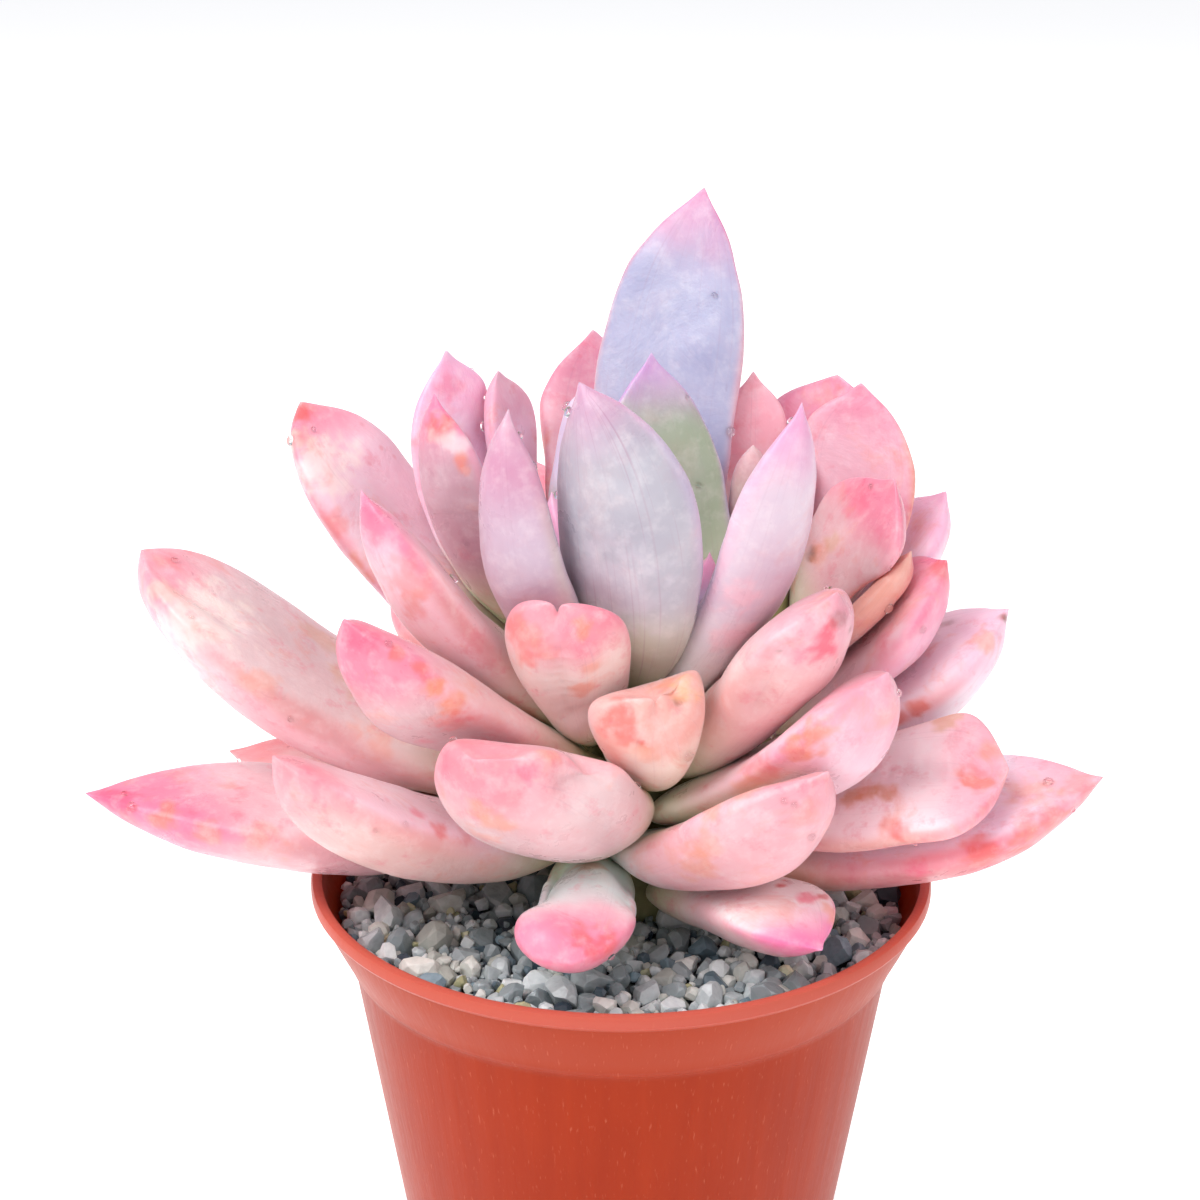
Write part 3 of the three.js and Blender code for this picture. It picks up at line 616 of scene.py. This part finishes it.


# What makes each leaf look as it does: its colours at the foot, on the upper and under faces, at the edges
# and at the tip, where the tip's colour starts, and its marks as (along, angle round from the
# anticlockwise edge towards the upper face, radius in mm, colour, strength). The colours are partly the
# leaf's own and partly painted light and shade, paler where a face is lit and darker where it is shaded;
# some near-white feet are painted light that lifts the shade at the crown, and the pale cream marks are
# painted highlights. Its creases run from one place to another, as (along, angle, along, angle, width in
# mm, depth in mm).
CORAL, HOT, ORANGE, TAN, BROWN = "#e8584f", "#ee4470", "#ea8a62", "#d9a072", "#8a4a38"
LEAVES = {
    "outer_left_low": dict(
        foot="#d9e2b8", upper="#e8c0c6", under="#dfa3ab", edge="#df9ea5", tip="#f57a9c",
        tip_from=0.72,
        marks=[(0.96, 20, 3, HOT, 0.5), (0.86, 5, 2.6, ORANGE, 0.55), (0.76, 2, 2.4, ORANGE, 0.45),
               (0.66, 0, 2.4, ORANGE, 0.4)],
    ),
    "outer_left_under": dict(
        foot="#e0d8b4", upper="#eec6c4", under="#e8b3ae", edge="#ee9d98", tip="#ee7f86",
    ),
    "outer_left": dict(
        foot="#ddd2ab", upper="#e0c5c5", under="#f4bdc4", edge="#d58d8c", tip="#f38299",
        tip_from=0.86,
        # the pale cream mark at 0.88 is a painted highlight
        marks=[(0.95, 15, 3, CORAL, 0.55), (0.88, 40, 7, "#fff3e2", 0.4), (0.62, 112, 3.2, TAN, 0.5),
               (0.69, 4, 2.4, ORANGE, 0.4), (0.5, 80, 3.6, TAN, 0.5), (0.42, 30, 2.4, ORANGE, 0.45),
               (0.97, 90, 2.2, CORAL, 0.4)],
        creases=[(0.97, 60, 0.8, 60, 1.8, 0.5)],
    ),
    "front_left_low": dict(
        foot="#cbc69e", upper="#fcd4df", under="#e5b9b4", edge="#e8a4a0", tip="#e58e9a",
        tip_from=0.8,
        marks=[(0.55, 30, 1.2, CORAL, 0.6), (0.62, 50, 1, HOT, 0.5), (0.45, 20, 1.4, CORAL, 0.4),
               (0.9, 60, 2.6, HOT, 0.35)],
    ),
    "front_left_upper": dict(
        foot="#dfe4b0", upper="#e8b6b6", under="#d5adb0", edge="#f2bfc1", tip="#e37692",
        tip_from=0.78,
        marks=[(0.85, 9, 1.3, CORAL, 0.75), (0.8, 352, 1.3, ORANGE, 0.8), (0.72, 345, 1.6, ORANGE, 0.7),
               (0.92, 11, 1.2, CORAL, 0.7), (0.66, 335, 2.2, CORAL, 0.5), (0.97, 40, 2.6, HOT, 0.55)],
    ),
    "front_blunt": dict(
        foot="#dbd5a9", upper="#ecb4bb", under="#deb6b8", edge="#eda5ae", tip="#e68090",
        tip_from=0.82,
        marks=[(0.93, 314, 1.5, HOT, 0.75), (0.9, 357, 1.8, ORANGE, 0.6),
               (0.84, 250, 2.2, ORANGE, 0.55), (0.9, 245, 1.6, ORANGE, 0.4)],
        creases=[(0.75, 355, 0.83, 317, 2.8, 2.2), (0.96, 315, 0.9, 280, 2.4, 1.2)],
    ),
    "front_drooping": dict(
        foot="#ddf4be", upper="#e8fbf8", under="#ecfbfb", edge="#f3e7ef", tip="#f56b94",
        tip_from=0.72,
        marks=[(0.95, 42, 2.2, "#f04a58", 0.85), (0.92, 80, 1.8, CORAL, 0.5),
               (0.43, 93, 2.2, TAN, 0.55)],
        creases=[(0.35, 150, 0.62, 160, 3.2, 2.6), (0.4, 25, 0.6, 25, 2.6, 1.2),
                 (0.88, 150, 0.93, 140, 3.4, -1.6)],
    ),
    "front_right": dict(
        # its tan-olive upper face is painted shade, and its near-white foot painted light against the
        # crevice shade
        foot="#fcfcf8", upper="#e1d2ab", under="#eda8b0", edge="#f8b4c6", tip="#e59aa7",
        tip_from=0.8,
        marks=[(0.51, 235, 2.8, ORANGE, 0.6), (0.62, 225, 2, ORANGE, 0.45),
               (0.7, 178, 1.6, ORANGE, 0.6), (0.82, 174, 1.6, ORANGE, 0.5)],
    ),
    "front_right_low": dict(
        foot="#e9dfb8", upper="#fbeaea", under="#f3c6ca", edge="#f3a9b4", tip="#e65f9b",
        tip_from=0.82,
        marks=[(0.65, 72, 0.8, "#cf3b3b", 0.9), (0.6, 55, 0.5, "#cf3b3b", 0.9),
               (0.79, 65, 1.1, HOT, 0.75), (0.8, 35, 0.7, "#cf3b3b", 0.8), (0.9, 10, 1.6, ORANGE, 0.6)],
    ),
    "right_front": dict(
        foot="#fcfce3", upper="#fbcad6", under="#fbd1de", edge="#e58ca8", tip="#ec90a7",
        tip_from=0.8,
        marks=[(0.82, 190, 2.2, ORANGE, 0.65), (0.74, 192, 2, ORANGE, 0.6),
               (0.57, 192, 2.2, CORAL, 0.5), (0.45, 195, 1.8, ORANGE, 0.4)],
    ),
    "outer_right": dict(
        foot="#e3d4b0", upper="#fcd9de", under="#ef979e", edge="#e0988c", tip="#ee98ac",
        tip_from=0.85,
        marks=[(0.94, 103, 2.6, "#ee6a50", 0.75), (0.85, 39, 2.2, TAN, 0.65),
               (0.56, 112, 1.2, "#d98a5c", 0.8), (0.62, 112, 1.3, "#d98a5c", 0.8),
               (0.68, 111, 1.1, "#d98a5c", 0.7), (0.72, 152, 1.4, CORAL, 0.7),
               (0.97, 60, 1.6, ORANGE, 0.5)],
        creases=[(0.5, 90, 0.94, 92, 2.6, 1.1)],
    ),
    "outer_right_low": dict(
        foot="#e5d7b3", upper="#fcecfc", under="#dc6974", edge="#f48496", tip="#f290a5",
        tip_from=0.8,
        marks=[(0.97, 120, 3, CORAL, 0.5), (0.55, 195, 1.6, HOT, 0.8), (0.82, 198, 2.2, CORAL, 0.8),
               (0.72, 200, 2.2, CORAL, 0.7), (0.9, 190, 2, CORAL, 0.6), (0.85, 100, 3.6, ORANGE, 0.5)],
    ),
    "left_inner": dict(
        foot="#e6e6b4", upper="#f9c4c7", under="#fcd2db", edge="#d58083", tip="#e47fa0",
        tip_from=0.8,
        marks=[(0.95, 320, 2.4, HOT, 0.4), (0.76, 327, 3, CORAL, 0.4)],
    ),
    "heart": dict(
        foot="#dde4b2", upper="#f0c8d0", under="#f0ddd6", edge="#f0b5b0", tip="#e77e92",
        tip_from=0.78,
        marks=[(0.89, 236, 3.4, "#ee5a50", 0.7), (0.93, 312, 1.7, ORANGE, 0.6),
               (0.66, 291, 1.6, ORANGE, 0.6), (0.78, 300, 1.4, ORANGE, 0.5),
               (0.97, 285, 1.4, HOT, 0.35)],
        creases=[(0.88, 272, 0.5, 276, 2.4, 1.3)],
    ),
    "small_peach": dict(
        foot="#e0e3b5", upper="#f2d4d4", under="#f6ddd0", edge="#fcc9b1", tip="#eaa69d",
        tip_from=0.75,
        marks=[(0.9, 180, 2.4, "#f2645a", 0.75), (0.9, 217, 0.5, CORAL, 0.8),
               (0.95, 291, 0.8, BROWN, 0.6), (0.92, 38, 1.8, ORANGE, 0.7),
               (0.92, 319, 2, "#f5b07a", 0.6), (0.82, 222, 1.6, ORANGE, 0.45)],
        creases=[(0.93, 165, 0.86, 215, 1.3, 0.75), (0.95, 350, 0.96, 290, 1.2, 0.85)],
    ),
    "right_inner": dict(
        foot="#f4eed0", upper="#eac0be", under="#e9b6b6", edge="#e3a5a3", tip="#e29aaa",
        tip_from=0.8,
        marks=[(0.91, 240, 2.4, "#ee3f62", 0.9), (0.86, 222, 1.6, HOT, 0.5),
               (0.97, 250, 1.2, BROWN, 0.35), (0.98, 60, 2, ORANGE, 0.45), (0.84, 207, 0.8, BROWN, 0.5),
               (0.93, 275, 0.6, BROWN, 0.5)],
        creases=[(0.6, 215, 0.86, 205, 2, 1.1)],
    ),
    "right_upright": dict(
        foot="#fcfcfc", upper="#e1cae2", under="#d6bece", edge="#efb7cb", tip="#e297c0",
        tip_from=0.82, mottle=0.3,
        marks=[(0.5, 230, 3, "#f3b6c4", 0.5), (0.36, 240, 2.6, "#f3b6c4", 0.5)],
    ),
    "centre_left": dict(
        foot="#cad5ab", upper="#cab5c5", under="#c6aec0", edge="#c5b5b1", tip="#c57fa0",
        mottle=0.2, tip_from=0.75,
    ),
    "centre_front": dict(
        foot="#dfe8bf", upper="#c1b7c9", under="#ada9b5", edge="#bdadc5", tip="#cf9bb8",
        mottle=0.12, tip_from=0.88,
        marks=[(0.45, 270, 6, "#d5cad6", 0.4)], lines=0.8,
    ),
    "centre_back": dict(
        foot="#c1c9a4", upper="#a6b498", under="#c1b3d8", edge="#bea7d1", tip="#c48ccb",
        mottle=0.1, tip_from=0.84,
    ),
    "tall_rear": dict(
        foot="#c2c2bc", upper="#aaaac8", under="#c6aecc", edge="#e1a3b1", tip="#d05094",
        mottle=0.1, tip_from=0.9,
        lines=0.35,
    ),
    "rear_left_red": dict(
        foot="#d9d2b6", upper="#e6a9b6", under="#e2848f", edge="#e0828e", tip="#dd90a7",
    ),
    "crown_left": dict(
        foot="#d8d9af", upper="#d8c8da", under="#dcc6dc", edge="#e0b5d2", tip="#f09ac2", mottle=0.2,
    ),
    "crown_right": dict(
        foot="#d8d9af", upper="#cfd0b6", under="#dcc6dc", edge="#e0b5d2", tip="#f09ac2", mottle=0.2,
    ),
    "crown_heart": dict(
        foot="#d8d9af", upper="#cfd0b6", under="#dcc6dc", edge="#e0b5d2", tip="#f09ac2", mottle=0.2,
    ),
    "left_upper": dict(
        foot="#dfd0b1", upper="#efc9d6", under="#e688b0", edge="#e791a1", tip="#ee7492",
        tip_from=0.86,
        # the pale cream mark at 0.86 is a painted highlight
        marks=[(0.99, 41, 2, "#e8504a", 0.8), (0.95, 20, 2, CORAL, 0.6), (0.86, 45, 5, "#fff3e2", 0.45),
               (0.69, 354, 2.6, CORAL, 0.5), (0.57, 340, 1.6, "#e06a44", 0.8),
               (0.53, 345, 1.2, "#e06a44", 0.7)],
    ),
    "left_head_outer": dict(
        foot="#dce9b7", upper="#efd0e2", under="#f8d0e0", edge="#f8bed5", tip="#f3aece",
        tip_from=0.8, mottle=0.5,
        marks=[(0.9, 80, 2.4, HOT, 0.35), (0.7, 60, 3, CORAL, 0.35)],
    ),
    "left_head_front": dict(
        foot="#c4c49c", upper="#d4afca", under="#ca9baa", edge="#e695ad", tip="#ec739b",
        tip_from=0.84, mottle=0.6,
        marks=[(0.93, 325, 2, "#ee6258", 0.8), (0.88, 327, 2, "#fff4f2", 0.5),
               (0.81, 327, 0.9, "#e8704e", 0.75), (0.77, 330, 0.7, "#e8704e", 0.6)],
    ),
    "left_head_back": dict(
        foot="#dee9bd", upper="#f7d3e4", under="#f5c9df", edge="#f7b7d0", tip="#e7a4b9",
    ),
    "left_head_bud": dict(
        foot="#dbd8b5", upper="#ded3ea", under="#e2d6ee", edge="#e2d6ee", tip="#e9d3ea", mottle=0.2,
    ),
    "right_side": dict(
        foot="#ede0bb", upper="#fbe0e9", under="#fcebf4", edge="#fbb0b7", tip="#ecbdd3",
        marks=[(0.99, 176, 0.9, BROWN, 0.9), (0.93, 158, 1.8, ORANGE, 0.6), (0.82, 71, 1, BROWN, 0.45),
               (0.63, 184, 1.2, "#e8705a", 0.8), (0.55, 184, 1.2, "#e8705a", 0.7)],
    ),
    "right_side_upper": dict(
        foot="#f2eec7", upper="#f9d0dc", under="#f7b4cc", edge="#fc9cb2", tip="#f75e8d",
        tip_from=0.84,
        marks=[(0.99, 120, 1.6, "#e83a48", 0.85), (0.7, 154, 2.4, HOT, 0.4),
               (0.82, 140, 2, CORAL, 0.45)],
    ),
    "right_side_inner": dict(
        foot="#dfe0c7", upper="#f4c3b8", under="#f6cfc8", edge="#ef9f86", tip="#ea9782", tip_from=0.6,
    ),
    "right_back": dict(foot="#f4fccd", upper="#fbdcea", under="#fce0ee", edge="#fcc0d6", tip="#f9b4d2"),
    "right_head_broad": dict(
        foot="#dbccab", upper="#e5aabb", under="#ebaab7", edge="#e89a81", tip="#e78da7", tip_from=0.85,
        marks=[(0.3, 20, 4, ORANGE, 0.45)],
    ),
    "right_head_front": dict(
        foot="#dddebb", upper="#e4afb5", under="#e5c1cc", edge="#ec9fa6", tip="#e6839b",
        tip_from=0.74,
        marks=[(0.45, 62, 0.8, BROWN, 0.85), (0.5, 75, 1.6, ORANGE, 0.5), (0.86, 68, 2.2, HOT, 0.5),
               (0.6, 80, 1.4, TAN, 0.5)],
    ),
    "right_head_back": dict(
        foot="#dfd5be", upper="#eeaec7", under="#eda6c3", edge="#ee959f", tip="#e97ea3", tip_from=0.7,
        marks=[(0.8, 90, 5, CORAL, 0.55)],
    ),
    "right_head_inner": dict(
        foot="#e6d6b1", upper="#f6cdd6", under="#f3a9b4", edge="#f08d8b", tip="#f69daf", tip_from=0.6,
        marks=[(0.6, 270, 4, CORAL, 0.6)],
    ),
    "right_head_bud": dict(
        foot="#c8bc99", upper="#cbaaa5", under="#cbaaa5", edge="#cbaaa5", tip="#ca959c", mottle=0.2,
    ),
    "right_head_core": dict(
        foot="#e2d8b1", upper="#eebfc6", under="#efb9c4", edge="#ee9fae", tip="#ee8a9f",
    ),
    "back_low_left": dict(
        foot="#e3dbb5", upper="#f2c6cb", under="#f0b2b4", edge="#f28f94", tip="#f36f86",
    ),
    "back_left": dict(foot="#e2dab2", upper="#f5bfc9", under="#f3aeb8", edge="#f28f9c", tip="#f37a90"),
    "back_low": dict(foot="#e3dbb5", upper="#f4ccd0", under="#f0b6b6", edge="#f2999a", tip="#f47f8e"),
    "back_middle": dict(foot="#e0d8b0", upper="#f2b6c4", under="#f2a8b6", edge="#f08c9c", tip="#f2708c"),
    "back_low_right": dict(
        foot="#e3dbb5", upper="#f5d0d6", under="#f2b9c0", edge="#f29aa4", tip="#f37c92",
    ),
    "back_right": dict(foot="#e0d8b0", upper="#f4b9c6", under="#f3acb9", edge="#f08f9f", tip="#f27590"),
    "right_low_rear": dict(
        foot="#e3dbb5", upper="#f5cad2", under="#f2b4bc", edge="#f296a2", tip="#f27a90",
    ),
    "right_rear": dict(foot="#e0d8b0", upper="#f4bccb", under="#f3afbf", edge="#f092a5", tip="#f27a96"),
    "right_low_side": dict(
        foot="#e3dbb5", upper="#f4c6ce", under="#f2b0b8", edge="#f2909c", tip="#f2748a",
    ),
}


def distance_from(mesh, along, angle):
    """How far each point of a leaf is, in mm, from the one at a place along and an angle round it."""
    turned = np.degrees(np.arctan2(read(mesh, "face"), read(mesh, "across")))
    off = np.abs((turned - angle + 180) % 360 - 180) / 180
    places = points_of(mesh)
    nearest = np.argmin(np.abs(read(mesh, "along") - along) + off)
    return np.linalg.norm(places - places[nearest], axis=1) / MM


def press_creases(piece, creases):
    """Presses soft valleys into a leaf, or a soft ridge where the depth is below 0."""
    for along0, angle0, along1, angle1, width, depth in creases:
        away = [
            distance_from(piece.data, along0 + (along1 - along0) * t, angle0 + (angle1 - angle0) * t)
            for t in np.linspace(0, 1, CREASE_STEPS)
        ]
        swell(piece.data, -depth * np.exp(-((np.min(away, axis=0) / width) ** 2)))


def paint_leaf(piece, tints, seed):
    """Lays a leaf's colours on its points as a colour attribute: its own colours with the painted light,
    shade and highlights that its row gives.
    """
    mesh = piece.data
    places = points_of(mesh)
    along, across, face = (read(mesh, name) for name in ("along", "across", "face"))
    drift = waves(places, 9, seed)
    fine = waves(places, 2.6, seed + 40)
    grain = waves(places, 1.0, seed + 80)
    colours = np.tile(np.array(linear(tints["upper"])[:3]), (len(places), 1))
    colours = over(colours, tints["under"], smooth(0.35, -0.35, face + drift * 0.2))
    edge = smooth(0.45, 0.05, np.abs(face) + drift * 0.14) * smooth(0.2, 0.6, along)
    colours = over(colours, tints["edge"], edge * 0.75)
    tip_from = tints.get("tip_from", 0.78)
    tip = smooth(tip_from - 0.08, tip_from + 0.16, along + drift * 0.06 + fine * 0.025 + 0.05 * edge)
    colours = over(colours, tints["tip"], tip * 0.92)
    colours = over(colours, tints["foot"], smooth(0.46, 0.1, along + drift * 0.08) * 0.9)
    for mark_along, mark_angle, radius, colour, strength in tints.get("marks", ()):
        away = distance_from(mesh, mark_along, mark_angle)
        away = away * (1 + 0.4 * drift) + radius * (0.7 * fine + 0.6 * grain)
        colours = over(colours, colour, smooth(radius * 1.3, radius * 0.4, away) * strength)
    # the colours laid here are the leaf's own with painted light and shade in them
    rgba = np.ones((len(places), 4), np.float32)
    rgba[:, :3] = colours
    mesh.attributes.new("leaf_colour_and_painted_light", "FLOAT_COLOR", "POINT").data.foreach_set("color", rgba.ravel())
    mottle = mesh.attributes.new("mottle", "FLOAT", "POINT")
    mottle.data.foreach_set("value", np.full(len(places), tints.get("mottle", 1.0), np.float32))
    lines = mesh.attributes.new("lines", "FLOAT", "POINT")
    strength = tints.get("lines", 0.25) * smooth(0.98, 0.8, np.abs(across)) * smooth(0.02, 0.2, along)
    lines.data.foreach_set("value", strength.astype(np.float32))


DROPS = 3  # on each leaf
DROP_RADII = (0.3, 0.4, 0.5, 0.7)
DROPS_FROM, DROPS_TO = 0.3, 0.97  # the part of a leaf's length that they stand on


def dew_on(piece, seed):
    """A few places on a leaf for drops of water, as (place, normal, radius in mm) rows."""
    rng = random.Random(seed + 500)
    normals = np.zeros(len(piece.data.vertices) * 3, np.float32)
    piece.data.vertex_normals.foreach_get("vector", normals)
    normals = normals.reshape(-1, 3)
    places, along = points_of(piece.data), read(piece.data, "along")
    drops = []
    while len(drops) < DROPS:
        i = rng.randrange(len(along))
        if DROPS_FROM < along[i] < DROPS_TO:
            drops.append((places[i], normals[i], rng.choice(DROP_RADII)))
    return drops


# The waxy skin: flesh that light passes into, a satin cuticle, rub marks where its powder has gone, fine
# red freckles and faint lengthwise lines.
cuticle, shader = new_material("waxy succulent cuticle")
where = add_node(cuticle, "ShaderNodeTexCoord").outputs["Object"]
# the leaf's colours, painted light and shade among them, read from its points
leaf_colour_and_painted_light = add_node(cuticle, "ShaderNodeAttribute", attribute_name="leaf_colour_and_painted_light").outputs["Color"]
across = add_node(cuticle, "ShaderNodeAttribute", attribute_name="across").outputs["Fac"]
along = add_node(cuticle, "ShaderNodeAttribute", attribute_name="along").outputs["Fac"]
lined = add_node(cuticle, "ShaderNodeAttribute", attribute_name="lines").outputs["Fac"]
mottled = add_node(cuticle, "ShaderNodeAttribute", attribute_name="mottle").outputs["Fac"]
rubs = add_node(
    cuticle, "ShaderNodeTexNoise", [(where, "Vector")], Scale=120, Detail=5, Roughness=0.66, Distortion=0.5
)
pales = add_node(cuticle, "ShaderNodeTexNoise", [(where, "Vector")], Scale=60, Detail=4, Roughness=0.6)
powder = add_node(cuticle, "ShaderNodeTexNoise", [(where, "Vector")], Scale=420, Detail=3, Roughness=0.7)
blush = add_node(cuticle, "ShaderNodeTexNoise", [(where, "Vector")], Scale=260, Detail=4, Roughness=0.7)
freckles = add_node(cuticle, "ShaderNodeTexVoronoi", [(where, "Vector")], Scale=420)
sparse = add_node(
    cuticle, "ShaderNodeMapRange", [(pales.outputs[0], 0)], From_Min=0.45, From_Max=0.36
).outputs[0]
line_place = add_node(cuticle, "ShaderNodeCombineXYZ", [(across, 0), (along, 1)]).outputs[0]
line_run = add_node(cuticle, "ShaderNodeMapping", [(line_place, 0)], Scale=(16, 1.1, 1)).outputs[0]
threads = add_node(cuticle, "ShaderNodeTexNoise", [(line_run, "Vector")], Scale=1.4, Detail=3)
# laid over the flesh in turn, each as a pattern, the run of it over which the layer comes in, how much of
# it shows at most, its colour, and the values that its amount is multiplied by
colour = leaf_colour_and_painted_light
for pattern, low, high, most, tint, shares in (
    (rubs.outputs[0], 0.56, 0.7, 0.5, "#ea8468", [mottled]),
    (pales.outputs[0], 0.4, 0.8, 0.3, "#fffafa", []),
    (powder.outputs[0], 0.48, 0.75, 0.2, "#fff8f6", []),
    (blush.outputs[0], 0.56, 0.72, 0.38, "#e2607a", [mottled]),
    (freckles.outputs["Distance"], 0.24, 0.1, 0.3, "#d9586a", [sparse, mottled]),
    (threads.outputs[0], 0.56, 0.72, 0.45, "#a8748f", [lined]),
):
    amount = add_node(
        cuticle, "ShaderNodeMapRange", [(pattern, 0)], From_Min=low, From_Max=high, To_Max=most
    ).outputs[0]
    for share in shares:
        amount = add_node(
            cuticle, "ShaderNodeMath", [(amount, 0), (share, 1)], operation="MULTIPLY"
        ).outputs[0]
    layer = add_node(
        cuticle, "ShaderNodeMix", [(amount, 0), (colour, 6)], data_type="RGBA", B=linear(tint)
    )
    colour = layer.outputs[2]
cuticle.node_tree.links.new(colour, shader.inputs["Base Color"])
skin = add_node(cuticle, "ShaderNodeTexNoise", [(where, "Vector")], Scale=900, Detail=3)
rough = add_node(
    cuticle, "ShaderNodeMapRange", [(rubs.outputs[0], 0)],
    From_Min=0.35, From_Max=0.7, To_Min=0.26, To_Max=0.42,
)
cuticle.node_tree.links.new(rough.outputs[0], shader.inputs["Roughness"])
pores = add_node(cuticle, "ShaderNodeBump", [(skin.outputs[0], "Height")], Strength=0.12, Distance=0.0002)
dimples = add_node(
    cuticle,
    "ShaderNodeBump",
    [(rubs.outputs[0], "Height"), (pores.outputs[0], "Normal")],
    Strength=0.2,
    Distance=0.0012,
)
cuticle.node_tree.links.new(dimples.outputs[0], shader.inputs["Normal"])
shader.inputs["IOR"].default_value = 1.42
shader.inputs["Subsurface Weight"].default_value = 0.4
shader.inputs["Subsurface Radius"].default_value = (1.0, 0.62, 0.58)
shader.inputs["Subsurface Scale"].default_value = 0.003
shader.inputs["Sheen Weight"].default_value = 0.12
shader.inputs["Sheen Roughness"].default_value = 0.5
shader.inputs["Sheen Tint"].default_value = linear("#fff4f8")

dew_places = []
for seed, (name, tints) in enumerate(LEAVES.items()):
    leaf = merged_copy("leaf_" + name, name + "_leaf")
    leaf_mesh(leaf, *leaf_rings(leaf))
    leaf.modifiers.new("round", "SUBSURF").levels = 3
    apply_modifiers(leaf)
    places = points_of(leaf.data)
    along = read(leaf.data, "along")
    lumps = 0.38 * waves(places, 10, seed) + 0.1 * waves(places, 3.5, seed)
    swell(leaf.data, lumps * smooth(1.0, 0.85, along))
    press_creases(leaf, tints.get("creases", ()))
    paint_leaf(leaf, tints, seed)
    dew_places += dew_on(leaf, seed)
    bpy.ops.object.shade_smooth()
    leaf.data.materials.append(cuticle)
    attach(leaf, "root")
    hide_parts("leaf_" + name)

# ---------------------------------------------------------------- dew
# Small drops of water that stand on the waxy skin after watering, each a flattened bead.
bpy.ops.mesh.primitive_ico_sphere_add(subdivisions=2, radius=1)
bead = bpy.context.object
bead_points = np.array([v.co for v in bead.data.vertices])
bead_faces = np.array([list(p.vertices) for p in bead.data.polygons])
bpy.data.objects.remove(bead)
DEW_FLAT = 0.62  # how high a bead is for its width
DEW_OUT = 0.45  # how far its middle stands out from the skin, as a share of its half height
points, faces = [], []
for place, normal, radius in dew_places:
    shape = bead_points - np.outer(bead_points @ normal, normal) * (1 - DEW_FLAT)
    points.append(place + (shape + normal * DEW_FLAT * DEW_OUT) * radius * MM)
    faces.append(bead_faces + len(bead_points) * len(faces))
dew_mesh = bpy.data.meshes.new("dew_drops")
dew_mesh.from_pydata(np.concatenate(points).tolist(), [], np.concatenate(faces).tolist())
dew_drops = bpy.data.objects.new("dew_drops", dew_mesh)
bpy.context.scene.collection.objects.link(dew_drops)
dew_mesh.polygons.foreach_set("use_smooth", [True] * len(dew_mesh.polygons))
water, shader = new_material("clear water")
shader.inputs["Base Color"].default_value = linear("#ffffff")
shader.inputs["Roughness"].default_value = 0.03
shader.inputs["IOR"].default_value = 1.33
shader.inputs["Transmission Weight"].default_value = 1.0
dew_mesh.materials.append(water)
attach(dew_drops, "root")
